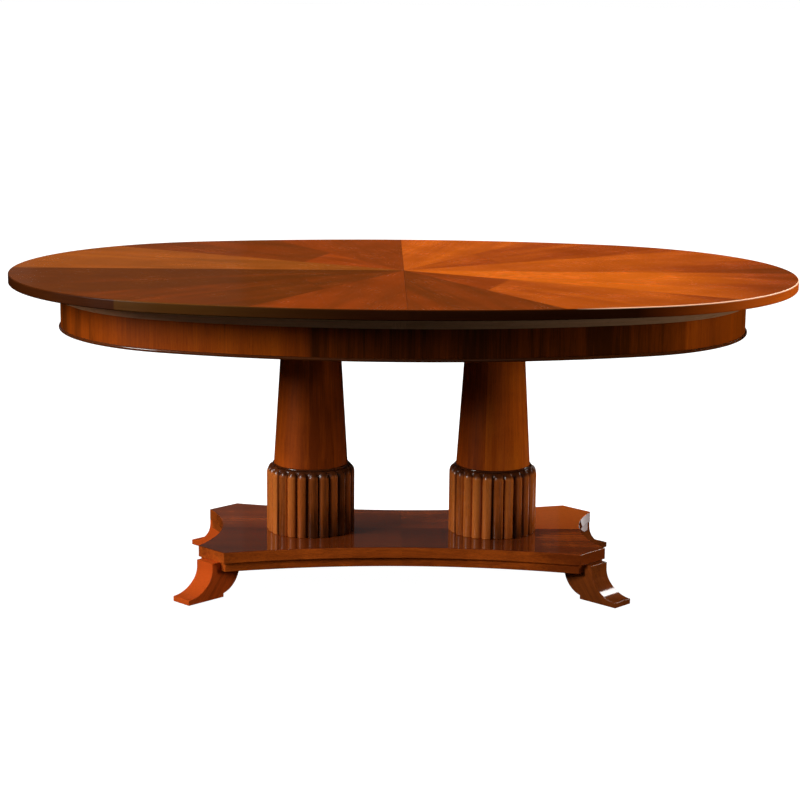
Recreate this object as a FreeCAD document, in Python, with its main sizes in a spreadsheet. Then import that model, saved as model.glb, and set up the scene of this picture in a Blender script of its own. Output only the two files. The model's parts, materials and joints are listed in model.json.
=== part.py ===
import FreeCAD, Part
import math
import os
import Sketcher
from FreeCAD import Vector, Rotation, Placement

# Double pedestal extension dining table: millimetres, +X along the length, +Z up, floor at z = 0.
# The oval top is split on its short axis. Each half carries its half of the apron and slides
# outwards on rails fixed over the two columns, kept in step by a pinion between two racks.

sizes = {
    # top and its edge
    "table_height": 762.0,
    "top_length": 1900.0,
    "top_width": 1247.0,
    "top_end_inset": 54.5,
    "top_thickness": 24.0,
    "arris_radius": 3.0,
    "under_bevel": 2.0,
    "seam_gap": 0.4,
    # apron, the splayed moulding over it, its bead and the lining that fixes it to the top
    "apron_length": 1658.0,
    "apron_width": 985.0,
    "apron_end_inset": 72.5,
    "apron_height": 113.0,
    "apron_wall": 19.0,
    "splay_height": 39.0,
    "splay_reach": 26.0,
    "splay_bevel": 24.0,
    "bead_height": 8.0,
    "bead_projection": 4.5,
    "bead_round": 3.4,
    "lining_width": 20.0,
    "lining_height": 24.0,
    # dowels that line up the two halves at the seam
    "dowel_radius": 5.0,
    "dowel_inset": 18.0,
    "dowel_reach": 12.0,
    "dowel_play": 0.3,
    "dowel_inner_y": 170.0,
    "dowel_outer_y": 430.0,
    # fixed rails and the runners that slide on them
    "rail_width": 34.0,
    "rail_height": 42.0,
    "rail_length": 860.0,
    "rail_spacing": 240.0,
    "rail_headroom": 1.5,
    "groove_depth": 9.0,
    "groove_height": 13.0,
    "slide_play": 0.4,
    "runner_width": 26.0,
    "runner_height": 37.0,
    "runner_tail": 700.0,
    "runner_reach": 150.0,
    # bearers on the columns and the bridge that holds the pinion
    "bearer_thickness": 32.0,
    "bearer_width": 72.0,
    "bearer_length": 330.0,
    "bridge_thickness": 14.0,
    "bridge_width": 66.0,
    # equaliser gear
    "gear_module": 4.0,
    "pinion_thickness": 12.0,
    "pinion_lift": 8.0,
    "axle_radius": 6.0,
    "axle_play": 0.05,
    "axle_head": 9.5,
    "axle_head_thickness": 4.0,
    "rack_thickness": 10.0,
    "rack_back": 12.0,
    "rack_tail": 350.0,
    "rack_nose": 285.0,
    "batten_length": 40.0,
    "batten_width": 52.0,
    "keeper_thickness": 10.0,
    "keeper_length": 40.0,
    # columns, collars and reeded drums
    "column_spacing": 450.0,
    "column_foot_radius": 91.0,
    "column_head_radius": 67.6,
    "column_bore": 48.0,
    "plug_thickness": 40.0,
    "collar_radius": 94.5,
    "collar_height": 5.0,
    "collar_round": 1.8,
    "drum_height": 163.0,
    "drum_radius": 108.4,
    "reed_radius": 14.2,
    "shoulder_round": 17.0,
    # tie rods through columns, drums and platform
    "rod_radius": 5.0,
    "rod_play": 0.5,
    "rod_end": 3.0,
    "nut_flats": 17.0,
    "nut_thickness": 8.0,
    "washer_radius": 15.0,
    "washer_thickness": 2.0,
    # platform
    "platform_top": 117.0,
    "upper_board": 27.0,
    "lower_board": 22.0,
    "lower_inset": 6.0,
    "platform_length": 978.0,
    "platform_width": 482.0,
    "cant_x": 65.5,
    "cant_y": 65.5,
    "side_hollow": 60.0,
    "end_hollow": 45.0,
    # sabre feet
    "foot_width": 57.5,
    "foot_reach": 94.0,
    "foot_ledge": 20.5,
    "toe_height": 15.0,
    "sweep_height": 75.0,
    "sweep_radius": 48.0,
    "heel_set": 20.0,
    "heel_height": 11.0,
    "inner_radius": 65.6,
    "glide_radius": 16.0,
    "glide_thickness": 2.0,
    "foot_dowel_radius": 6.0,
    "foot_dowel_depth": 18.0,
    "foot_dowel_spread": 26.0,
    # wood screws
    "screw_radius": 2.4,
    "screw_head": 4.6,
    "screw_head_thickness": 2.6,
    "screw_bite": 16.0,
}

doc = FreeCAD.newDocument("table")
sheet = doc.addObject("Spreadsheet::Sheet", "sheet")
for row, (name, number) in enumerate(sizes.items(), start=1):
    sheet.set("A%d" % row, name)
    sheet.set("B%d" % row, str(number))
    sheet.setAlias("B%d" % row, name)
doc.recompute()


# A size keeps its number for the first drawing and its formula for the binding.
class Size:
    def __init__(self, number, text):
        self.number = float(number)
        self.text = text

    def __add__(self, other):
        other = asSize(other)
        return Size(self.number + other.number, "(%s + %s)" % (self.text, other.text))

    def __radd__(self, other):
        return asSize(other) + self

    def __sub__(self, other):
        other = asSize(other)
        return Size(self.number - other.number, "(%s - %s)" % (self.text, other.text))

    def __rsub__(self, other):
        return asSize(other) - self

    def __mul__(self, other):
        other = asSize(other)
        return Size(self.number * other.number, "(%s * %s)" % (self.text, other.text))

    def __rmul__(self, other):
        return asSize(other) * self

    def __truediv__(self, other):
        other = asSize(other)
        return Size(self.number / other.number, "(%s / %s)" % (self.text, other.text))

    def __neg__(self):
        return Size(-self.number, "(0 - %s)" % self.text)


def asSize(value):
    if isinstance(value, Size):
        return value
    return Size(value, repr(float(value)))


def root(value):
    return Size(math.sqrt(value.number), "sqrt(%s)" % value.text)


def size(name):
    return Size(sizes[name], "sheet.%s" % name)


nodes = []


def bind(obj, path, value):
    obj.setExpression(path, asSize(value).text)


# Sets an object where it belongs in the table and lists it as a sub-part.
def place(obj, label, x=0, y=0, z=0, turn=None, listed=True):
    obj.Label = label
    if turn is not None:
        start = turn.number if isinstance(turn, Size) else turn
        obj.Placement = Placement(Vector(0, 0, 0), Rotation(Vector(0, 0, 1), start))
        if isinstance(turn, Size):
            bind(obj, "Placement.Rotation.Angle", turn)
    for axis, value in (("x", x), ("y", y), ("z", z)):
        if isinstance(value, Size):
            bind(obj, "Placement.Base.%s" % axis, value)
        elif value:
            base = obj.Placement.Base
            setattr(base, axis, float(value))
            obj.Placement = Placement(base, obj.Placement.Rotation)
    if listed:
        nodes.append(obj)
    return obj


def newBody(label):
    body = doc.addObject("PartDesign::Body", label)
    body.Label = label
    return body


def originPart(body, role):
    for part in body.Origin.OriginFeatures:
        if part.Role == role:
            return part
    raise ValueError(role)


def newSketch(body, role, lift=None):
    sketch = body.newObject("Sketcher::SketchObject", body.Name + "_sketch")
    sketch.AttachmentSupport = [(originPart(body, role), "")]
    sketch.MapMode = "FlatFace"
    if lift is not None:
        bind(sketch, "AttachmentOffset.Base.z", lift)
    return sketch


def constrain(sketch, kind, *args):
    value = args[-1]
    if isinstance(value, Size):
        index = sketch.addConstraint(Sketcher.Constraint(kind, *args[:-1], value.number))
        sketch.setExpression("Constraints[%d]" % index, value.text)
        return index
    return sketch.addConstraint(Sketcher.Constraint(kind, *args))


# Fixes one point of a sketch curve: a zero puts it on the axis, None leaves that direction free.
def pin(sketch, curve, end, u, v):
    if u is not None:
        if isinstance(u, Size):
            constrain(sketch, "DistanceX", -1, 1, curve, end, u)
        else:
            constrain(sketch, "PointOnObject", curve, end, -2)
    if v is not None:
        if isinstance(v, Size):
            constrain(sketch, "DistanceY", -1, 1, curve, end, v)
        else:
            constrain(sketch, "PointOnObject", curve, end, -1)


def num(value):
    return asSize(value).number


def spot(point):
    return Vector(num(point[0]), num(point[1]), 0)


def line(sketch, first, second):
    return sketch.addGeometry(Part.LineSegment(spot(first), spot(second)), False)


def join(sketch, first, firstEnd, second, secondEnd):
    sketch.addConstraint(Sketcher.Constraint("Coincident", first, firstEnd, second, secondEnd))


def arc(sketch, centre, first, second):
    cx, cy = num(centre[0]), num(centre[1])
    radius = math.hypot(num(first[0]) - cx, num(first[1]) - cy)
    start = math.atan2(num(first[1]) - cy, num(first[0]) - cx)
    stop = math.atan2(num(second[1]) - cy, num(second[0]) - cx)
    while stop <= start:
        stop += 2 * math.pi
    circle = Part.Circle(Vector(cx, cy, 0), Vector(0, 0, 1), radius)
    return sketch.addGeometry(Part.ArcOfCircle(circle, start, stop), False)


def polygon(sketch, points):
    lines = []
    for index, point in enumerate(points):
        lines.append(line(sketch, point, points[(index + 1) % len(points)]))
    for index, edge in enumerate(lines):
        join(sketch, edge, 2, lines[(index + 1) % len(lines)], 1)
    for edge, point in zip(lines, points):
        pin(sketch, edge, 1, point[0], point[1])
    return lines


def circle(sketch, u, v, radius):
    index = sketch.addGeometry(Part.Circle(Vector(num(u), num(v), 0), Vector(0, 0, 1), num(radius)), False)
    pin(sketch, index, 3, u, v)
    constrain(sketch, "Radius", index, radius)
    return index


def pad(body, sketch, length, reverse=False):
    feature = body.newObject("PartDesign::Pad", body.Name + "_pad")
    feature.Profile = sketch
    feature.Reversed = reverse
    bind(feature, "Length", length)
    sketch.Visibility = False
    return feature


def revolve(body, sketch, kind="Revolution"):
    feature = body.newObject("PartDesign::" + kind, body.Name + "_" + kind.lower())
    feature.Profile = sketch
    feature.ReferenceAxis = (sketch, ["V_Axis"])
    feature.Angle = 360.0
    sketch.Visibility = False
    return feature


# Prism along X from a cross-section in Y and Z.
def prismAlong(label, points, start, length):
    body = newBody(label)
    sketch = newSketch(body, "YZ_Plane", start)
    polygon(sketch, points)
    pad(body, sketch, length)
    return body


# Round stick standing on its own origin.
def stick(name, radius, height, x, y, z):
    obj = doc.addObject("Part::Cylinder", name)
    bind(obj, "Radius", radius)
    bind(obj, "Height", height)
    return place(obj, name, x, y, z, listed=False)


def block(label, length, width, height, x, y, z, listed=True):
    obj = doc.addObject("Part::Box", label)
    bind(obj, "Length", length)
    bind(obj, "Width", width)
    bind(obj, "Height", height)
    return place(obj, label, x, y, z, listed=listed)


def group(label, members):
    obj = doc.addObject("Part::Compound", label)
    obj.Links = members
    return place(obj, label)


# Wood screw with a flat head underneath, pointing up from z.
def screw(name, x, y, z, length):
    shank = stick(name + "_shank", size("screw_radius"), length, x, y, z)
    head = stick(name + "_head", size("screw_head"), size("screw_head_thickness"), x, y,
                 z - size("screw_head_thickness"))
    whole = doc.addObject("Part::Fuse", name)
    whole.Base = shank
    whole.Tool = head
    return whole


# Half of a four-centred oval on the +X side: two long arcs and an end arc, cut off at the seam.
def halfOval(sketch, half, wide, endRadius, seam):
    longRadius = ((half - endRadius) * (half - endRadius) + wide * wide - endRadius * endRadius) / (
        2 * (wide - endRadius))
    drop = longRadius - wide
    reach = half - endRadius
    slant = root(reach * reach + drop * drop)
    tipX = reach + endRadius * reach / slant
    tipY = endRadius * drop / slant
    sideY = root(longRadius * longRadius - seam * seam) - drop
    front = arc(sketch, (0, drop), (seam, -sideY), (tipX, -tipY))
    end = arc(sketch, (reach, 0), (tipX, -tipY), (tipX, tipY))
    back = arc(sketch, (0, -drop), (tipX, tipY), (seam, sideY))
    pin(sketch, end, 3, reach, 0)
    pin(sketch, end, 1, tipX, -tipY)
    pin(sketch, end, 2, tipX, None)
    pin(sketch, front, 3, 0, drop)
    join(sketch, front, 2, end, 1)
    pin(sketch, front, 1, seam, None)
    pin(sketch, back, 3, 0, -drop)
    join(sketch, back, 1, end, 2)
    pin(sketch, back, 2, seam, None)
    return front, back, (seam, -sideY), (seam, sideY)


def closeAcross(sketch, first, firstEnd, firstPoint, second, secondEnd, secondPoint):
    edge = line(sketch, firstPoint, secondPoint)
    join(sketch, edge, 1, first, firstEnd)
    join(sketch, edge, 2, second, secondEnd)


# Half of an oval wall, open at the seam.
def halfWall(label, half, wide, endRadius, seam, thickness, low, height):
    body = newBody(label)
    sketch = newSketch(body, "XY_Plane", low)
    outer = halfOval(sketch, half, wide, endRadius, seam)
    inner = halfOval(sketch, half - thickness, wide - thickness, endRadius - thickness, seam)
    closeAcross(sketch, outer[0], 1, outer[2], inner[0], 1, inner[2])
    closeAcross(sketch, outer[1], 2, outer[3], inner[1], 2, inner[3])
    return body, pad(body, sketch, height)


# Edges of a solid that lie at one height and are curved in plan, farther out than a limit.
def rimEdges(shape, height, curves):
    names = []
    for index, edge in enumerate(shape.Edges, start=1):
        box = edge.BoundBox
        flat = abs(box.ZMin - height) < 1e-4 and abs(box.ZMax - height) < 1e-4
        if flat and isinstance(edge.Curve, Part.Circle):
            if any(abs(edge.Curve.Radius - radius) < 0.01 for radius in curves):
                names.append("Edge%d" % index)
    return names


def longArc(half, wide, end):
    return ((half - end) ** 2 + wide ** 2 - end ** 2) / (2 * (wide - end))


half = size("top_length") / 2
wide = size("top_width") / 2
topEnd = wide - size("top_end_inset")
seam = size("seam_gap") / 2
underside = size("table_height") - size("top_thickness")

# Top halves: oval slab with a rounded upper arris, a bevel under the edge and dowel holes at the seam.
dowelRows = (-size("dowel_outer_y"), -size("dowel_inner_y"), size("dowel_inner_y"), size("dowel_outer_y"))
dowelHeight = underside + size("top_thickness") / 2


def topHalf(label, holeRadius, holeDepth, turn):
    body = newBody(label)
    sketch = newSketch(body, "XY_Plane", underside)
    front, back, first, last = halfOval(sketch, half, wide, topEnd, seam)
    closeAcross(sketch, front, 1, first, back, 2, last)
    slab = pad(body, sketch, size("top_thickness"))
    doc.recompute()
    radii = (num(topEnd), longArc(num(half), num(wide), num(topEnd)))
    over = body.newObject("PartDesign::Fillet", label + "_arris")
    over.Base = (slab, rimEdges(slab.Shape, num(size("table_height")), radii))
    bind(over, "Radius", size("arris_radius"))
    doc.recompute()
    under = body.newObject("PartDesign::Chamfer", label + "_bevel")
    under.Base = (over, rimEdges(over.Shape, num(underside), radii))
    bind(under, "Size", size("under_bevel"))
    doc.recompute()
    holes = newSketch(body, "YZ_Plane")
    for row in dowelRows:
        circle(holes, row, dowelHeight, holeRadius)
    doc.recompute()
    pocket = body.newObject("PartDesign::Pocket", label + "_holes")
    pocket.Profile = holes
    pocket.Reversed = True
    bind(pocket, "Length", holeDepth)
    holes.Visibility = False
    body.Tip = pocket
    return place(body, label, turn=turn)


topHalf("left_top_half", size("dowel_radius"), size("dowel_inset"), 180)
topHalf("right_top_half", size("dowel_radius") + size("dowel_play"), size("dowel_reach") + 1, 0)

dowels = []
for index, row in enumerate(dowelRows, start=1):
    pinName = "seam_dowel_%d" % index
    peg = stick(pinName, size("dowel_radius"), size("dowel_inset") + size("dowel_reach"),
                -size("dowel_inset"), row, dowelHeight)
    peg.Placement = Placement(peg.Placement.Base, Rotation(Vector(0, 1, 0), 90))
    dowels.append(peg)
group("seam_dowels", dowels)

# Apron halves with a splayed moulding under the top, a bead along the lower edge and a glued lining.
apronHalf = size("apron_length") / 2
apronWide = size("apron_width") / 2
apronEnd = apronWide - size("apron_end_inset")
apronLow = underside - size("apron_height")
for side, turn in (("left", 180), ("right", 0)):
    wall, feature = halfWall(side + "_apron", apronHalf, apronWide, apronEnd, seam,
                             size("apron_wall"), apronLow, size("apron_height"))
    place(wall, side + "_apron", turn=turn)
    swell = size("bead_projection")
    bead, strip = halfWall(side + "_apron_bead", apronHalf + swell, apronWide + swell, apronEnd + swell,
                           seam, swell, apronLow, size("bead_height"))
    doc.recompute()
    beadRadii = (num(apronEnd + swell), longArc(num(apronHalf + swell), num(apronWide + swell),
                                                num(apronEnd + swell)))
    rims = rimEdges(strip.Shape, num(apronLow), beadRadii)
    rims += rimEdges(strip.Shape, num(apronLow + size("bead_height")), beadRadii)
    rounded = bead.newObject("PartDesign::Fillet", side + "_bead_round")
    rounded.Base = (strip, rims)
    bind(rounded, "Radius", size("bead_round"))
    bead.Tip = rounded
    place(bead, side + "_apron_bead", turn=turn)
    flare = size("splay_reach")
    splay, strip = halfWall(side + "_apron_splay", apronHalf + flare, apronWide + flare, apronEnd + flare,
                            seam, flare, underside - size("splay_height"), size("splay_height"))
    doc.recompute()
    splayRadii = (num(apronEnd + flare), longArc(num(apronHalf + flare), num(apronWide + flare),
                                                 num(apronEnd + flare)))
    slope = splay.newObject("PartDesign::Chamfer", side + "_splay_bevel")
    slope.Base = (strip, rimEdges(strip.Shape, num(underside - size("splay_height")), splayRadii))
    bind(slope, "Size", size("splay_bevel"))
    splay.Tip = slope
    place(splay, side + "_apron_splay", turn=turn)
    inset = size("apron_wall")
    lining, feature = halfWall(side + "_apron_lining", apronHalf - inset, apronWide - inset,
                               apronEnd - inset, seam, size("lining_width"),
                               underside - size("lining_height"), size("lining_height"))
    place(lining, side + "_apron_lining", turn=turn)

# Fixed rails with a groove on each side, and the runners whose tongues slide in the grooves.
railTop = underside - size("rail_headroom")
railLow = railTop - size("rail_height")
railMiddle = railTop - size("rail_height") / 2
halfRail = size("rail_width") / 2
halfGroove = size("groove_height") / 2
web = halfRail - size("groove_depth")
railLine = size("rail_spacing") / 2


def railSection(middle):
    return [
        (middle - halfRail, railLow),
        (middle + halfRail, railLow),
        (middle + halfRail, railMiddle - halfGroove),
        (middle + web, railMiddle - halfGroove),
        (middle + web, railMiddle + halfGroove),
        (middle + halfRail, railMiddle + halfGroove),
        (middle + halfRail, railTop),
        (middle - halfRail, railTop),
        (middle - halfRail, railMiddle + halfGroove),
        (middle - web, railMiddle + halfGroove),
        (middle - web, railMiddle - halfGroove),
        (middle - halfRail, railMiddle - halfGroove),
    ]


for label, middle in (("front_rail", -railLine), ("back_rail", railLine)):
    rail = prismAlong(label, railSection(middle), -size("rail_length") / 2, size("rail_length"))
    place(rail, label)

runnerLow = underside - size("runner_height")
play = size("slide_play")
tongue = size("groove_depth") - play
halfTongue = halfGroove - play


# The runner lies beside its rail; way is +1 when it stands on the +Y side of the rail.
def runnerSection(middle, way):
    near = middle + way * (halfRail + play)
    far = near + way * size("runner_width")
    tip = near - way * tongue
    return [
        (near, runnerLow),
        (far, runnerLow),
        (far, underside),
        (near, underside),
        (near, railMiddle + halfTongue),
        (tip, railMiddle + halfTongue),
        (tip, railMiddle - halfTongue),
        (near, railMiddle - halfTongue),
    ]


runnerLength = size("runner_tail") + size("runner_reach")
for label, middle, way, start in (
    ("left_front_runner", -railLine, -1, -size("runner_tail")),
    ("left_back_runner", railLine, 1, -size("runner_tail")),
    ("right_front_runner", -railLine, 1, -size("runner_reach")),
    ("right_back_runner", railLine, -1, -size("runner_reach")),
):
    runner = prismAlong(label, runnerSection(middle, way), start, runnerLength)
    place(runner, label)

# Screws up through the runners into the top.
runnerOut = railLine + halfRail + play + size("runner_width") / 2
runnerIn = railLine - halfRail - play - size("runner_width") / 2
for side, offset, way in (("left", runnerOut, -1), ("right", runnerIn, 1)):
    members = []
    for row, sign in (("front", -1), ("back", 1)):
        for place3, share in (("a", 0.12), ("b", 0.5), ("c", 0.88)):
            members.append(screw("%s_%s_screw_%s" % (side, row, place3), way * share * size("runner_tail"),
                                 sign * offset, runnerLow, size("runner_height") + size("screw_bite")))
    group(side + "_runner_screws", members)

# Bearers across the column heads, bored for the tie rods.
bearerLow = railLow - size("bearer_thickness")
columnX = size("column_spacing") / 2
rodBore = size("rod_radius") + size("rod_play")
for side, sign in (("left", -1), ("right", 1)):
    bearer = newBody(side + "_bearer")
    sketch = newSketch(bearer, "XY_Plane")
    halfX = size("bearer_width") / 2
    halfY = size("bearer_length") / 2
    polygon(sketch, [(-halfX, -halfY), (halfX, -halfY), (halfX, halfY), (-halfX, halfY)])
    circle(sketch, 0, 0, rodBore)
    pad(bearer, sketch, size("bearer_thickness"))
    place(bearer, side + "_bearer", sign * columnX, 0, bearerLow)

members = []
for side, sign in (("left", -1), ("right", 1)):
    for row, way in (("front", -1), ("back", 1)):
        for end, shift in (("a", -1), ("b", 1)):
            members.append(screw("rail_screw_%s_%s_%s" % (side, row, end),
                                 sign * columnX + shift * size("bearer_width") / 4, way * railLine,
                                 bearerLow, size("bearer_thickness") + size("screw_bite")))
group("rail_screws", members)

# Bridge under the rails with the pinion's axle, a spacer and keepers behind the racks.
bridgeLow = railLow - size("bridge_thickness")
bridge = newBody("pinion_bridge")
sketch = newSketch(bridge, "XY_Plane", bridgeLow)
bridgeX = size("bridge_width") / 2
bridgeY = railLine + halfRail
polygon(sketch, [(-bridgeX, -bridgeY), (bridgeX, -bridgeY), (bridgeX, bridgeY), (-bridgeX, bridgeY)])
circle(sketch, 0, 0, size("axle_radius"))
pad(bridge, sketch, size("bridge_thickness"))
place(bridge, "pinion_bridge")

members = []
for row, way in (("front", -1), ("back", 1)):
    for end, shift in (("a", -1), ("b", 1)):
        members.append(screw("bridge_screw_%s_%s" % (row, end),
                             shift * size("bridge_width") / 4, way * railLine,
                             bridgeLow, size("bridge_thickness") + size("screw_bite")))
group("bridge_screws", members)

pinionLow = railLow + size("pinion_lift")
pinionTop = pinionLow + size("pinion_thickness")
axle = newBody("pinion_axle")
sketch = newSketch(axle, "XZ_Plane")
headLow = pinionTop + size("slide_play")
headTop = headLow + size("axle_head_thickness")
polygon(sketch, [(0, bridgeLow), (size("axle_radius"), bridgeLow), (size("axle_radius"), headLow),
                 (size("axle_head"), headLow), (size("axle_head"), headTop), (0, headTop)])
revolve(axle, sketch)
place(axle, "pinion_axle")

spacer = newBody("pinion_spacer")
sketch = newSketch(spacer, "XY_Plane", railLow)
circle(sketch, 0, 0, size("axle_radius"))
circle(sketch, 0, 0, size("axle_head"))
pad(spacer, sketch, size("pinion_lift"))
place(spacer, "pinion_spacer")

# Pinion of twelve teeth: a hub disc and one tooth repeated round it, the flanks in steps of the module.
module = size("gear_module")
pitchRadius = module * 6
pinion = newBody("equaliser_pinion")
sketch = newSketch(pinion, "XY_Plane", pinionLow)
circle(sketch, 0, 0, module * 5.1)
circle(sketch, 0, 0, size("axle_radius") + size("axle_play"))
pad(pinion, sketch, size("pinion_thickness"))
doc.recompute()
sketch = newSketch(pinion, "XY_Plane", pinionLow)
flank = [(4.7, 0.64), (5.05, 0.64), (5.59, 0.70), (5.963, 0.655), (6.352, 0.525), (6.88, 0.235)]
upper = [(module * u, module * v) for u, v in flank]
lower = [(module * u, -(module * v)) for u, v in flank]
polygon(sketch, lower + upper[::-1])
tooth = pad(pinion, sketch, size("pinion_thickness"))
doc.recompute()
ring = pinion.newObject("PartDesign::PolarPattern", "pinion_teeth")
ring.Originals = [tooth]
ring.Axis = (originPart(pinion, "Z_Axis"), [""])
ring.Angle = 360.0
ring.Occurrences = 12
pinion.Tip = ring
place(pinion, "equaliser_pinion")

# Racks: the left one passes behind the pinion and the right one is the same piece turned round.
rackLow = pinionLow + (size("pinion_thickness") - size("rack_thickness")) / 2
rackRoot = pitchRadius + module * 1.15
step = module * math.pi
for side, turn in (("left", 0), ("right", 180)):
    rack = newBody(side + "_rack")
    sketch = newSketch(rack, "XY_Plane", rackLow)
    rackBack = rackRoot + size("rack_back")
    polygon(sketch, [(-size("rack_tail"), rackRoot), (size("rack_nose"), rackRoot),
                     (size("rack_nose"), rackBack),
                     (-size("rack_tail"), rackBack)])
    pad(rack, sketch, size("rack_thickness"))
    doc.recompute()
    sketch = newSketch(rack, "XY_Plane", rackLow)
    first = -1.5 * step
    tip = pitchRadius - module * 0.7
    deep = rackRoot + module * 0.3
    polygon(sketch, [(first - module * 0.405, tip), (first + module * 0.405, tip),
                     (first + module * 1.075, rackRoot), (first + module * 1.075, deep),
                     (first - module * 1.075, deep), (first - module * 1.075, rackRoot)])
    tooth = pad(rack, sketch, size("rack_thickness"))
    doc.recompute()
    row = rack.newObject("PartDesign::LinearPattern", side + "_rack_teeth")
    row.Originals = [tooth]
    row.Direction = (originPart(rack, "X_Axis"), [""])
    bind(row, "Length", step * 23)
    row.Occurrences = 24
    rack.Tip = row
    place(rack, side + "_rack", turn=turn)

# Battens that hang the racks from the top, and their screws.
rackTop = rackLow + size("rack_thickness")
battenY = rackRoot + size("rack_back") / 2 - size("batten_width") / 2
battenHeight = underside - rackTop
rackMiddle = rackRoot + size("rack_back") / 2
block("left_rack_batten", size("batten_length"), size("batten_width"), battenHeight,
      -size("rack_tail"), battenY, rackTop)
block("right_rack_batten", size("batten_length"), size("batten_width"), battenHeight,
      size("rack_tail") - size("batten_length"), -battenY - size("batten_width"), rackTop)
for side, way in (("left", -1), ("right", 1)):
    members = []
    for end, share in (("a", 0.25), ("b", 0.75)):
        members.append(screw("%s_rack_screw_%s" % (side, end),
                             way * (size("rack_tail") - share * size("batten_length")), -way * rackMiddle,
                             rackLow, size("rack_thickness") + size("screw_bite")))
    group(side + "_rack_screws", members)

keepers = []
for row, way in (("front", -1), ("back", 1)):
    near = rackRoot + size("rack_back") + size("slide_play")
    start = near if way > 0 else -near - size("keeper_thickness")
    keepers.append(block("keeper_" + row, size("keeper_length"), size("keeper_thickness"),
                         rackTop - railLow, -size("keeper_length") / 2, start, railLow, listed=False))
group("rack_keepers", keepers)

# Reeded drums: a bored core with convex reeds all round, their heads rounded over at the shoulder.
drumLow = size("platform_top")
drumTop = drumLow + size("drum_height")
reedCentre = size("drum_radius") - size("reed_radius")
for side, sign in (("left", -1), ("right", 1)):
    drum = newBody(side + "_drum")
    sketch = newSketch(drum, "XY_Plane")
    circle(sketch, 0, 0, rodBore)
    circle(sketch, 0, 0, reedCentre + size("reed_radius") / 4)
    pad(drum, sketch, size("drum_height"))
    doc.recompute()
    sketch = newSketch(drum, "XY_Plane")
    circle(sketch, reedCentre, 0, size("reed_radius"))
    reed = pad(drum, sketch, size("drum_height"))
    doc.recompute()
    reeds = drum.newObject("PartDesign::PolarPattern", side + "_reeds")
    reeds.Originals = [reed]
    reeds.Axis = (originPart(drum, "Z_Axis"), [""])
    reeds.Angle = 360.0
    reeds.Occurrences = 24
    drum.Tip = reeds
    doc.recompute()
    sketch = newSketch(drum, "XZ_Plane")
    curve = size("shoulder_round")
    edgeIn = size("drum_radius") - curve
    level = size("drum_height") - curve
    clear = size("drum_radius") + 20
    above = size("drum_height") + 10
    bow = arc(sketch, (edgeIn, level), (size("drum_radius"), level), (edgeIn, size("drum_height")))
    one = line(sketch, (edgeIn, size("drum_height")), (edgeIn, above))
    two = line(sketch, (edgeIn, above), (clear, above))
    three = line(sketch, (clear, above), (clear, level))
    four = line(sketch, (clear, level), (size("drum_radius"), level))
    pin(sketch, bow, 3, edgeIn, level)
    pin(sketch, bow, 1, size("drum_radius"), None)
    join(sketch, bow, 2, one, 1)
    join(sketch, one, 2, two, 1)
    join(sketch, two, 2, three, 1)
    join(sketch, three, 2, four, 1)
    join(sketch, four, 2, bow, 1)
    pin(sketch, one, 1, edgeIn, None)
    pin(sketch, two, 1, edgeIn, above)
    pin(sketch, three, 1, clear, above)
    pin(sketch, four, 1, clear, level)
    constrain(sketch, "Horizontal", four)
    doc.recompute()
    shoulder = revolve(drum, sketch, "Groove")
    drum.Tip = shoulder
    place(drum, side + "_drum", sign * columnX, 0, drumLow)

# Collars, tapered columns and the plugs in their ends.
collarTop = drumTop + size("collar_height")
columnHeight = bearerLow - collarTop
for side, sign in (("left", -1), ("right", 1)):
    collar = newBody(side + "_collar")
    sketch = newSketch(collar, "XZ_Plane")
    polygon(sketch, [(rodBore, asSize(0.0) * size("collar_height")), (size("collar_radius"), 0),
                     (size("collar_radius"), size("collar_height")), (rodBore, size("collar_height"))])
    ringBody = revolve(collar, sketch)
    doc.recompute()
    rims = rimEdges(ringBody.Shape, 0.0, (num(size("collar_radius")),))
    rims += rimEdges(ringBody.Shape, num(size("collar_height")), (num(size("collar_radius")),))
    rounded = collar.newObject("PartDesign::Fillet", side + "_collar_round")
    rounded.Base = (ringBody, rims)
    bind(rounded, "Radius", size("collar_round"))
    collar.Tip = rounded
    place(collar, side + "_collar", sign * columnX, 0, drumTop)

    column = newBody(side + "_column")
    sketch = newSketch(column, "XZ_Plane")
    polygon(sketch, [(size("column_bore"), 0), (size("column_foot_radius"), 0),
                     (size("column_head_radius"), columnHeight), (size("column_bore"), columnHeight)])
    revolve(column, sketch)
    place(column, side + "_column", sign * columnX, 0, collarTop)

    for end, level in (("foot", collarTop), ("head", bearerLow - size("plug_thickness"))):
        plug = newBody("%s_column_%s_plug" % (side, end))
        sketch = newSketch(plug, "XY_Plane")
        circle(sketch, 0, 0, rodBore)
        circle(sketch, 0, 0, size("column_bore"))
        pad(plug, sketch, size("plug_thickness"))
        place(plug, "%s_column_%s_plug" % (side, end), sign * columnX, 0, level)

# Platform of two boards with hollowed sides and ends and canted corners.
boardX = size("platform_length") / 2
boardY = size("platform_width") / 2


cantLength = root(size("cant_x") * size("cant_x") + size("cant_y") * size("cant_y"))
outX = size("cant_y") / cantLength
outY = size("cant_x") / cantLength


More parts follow.
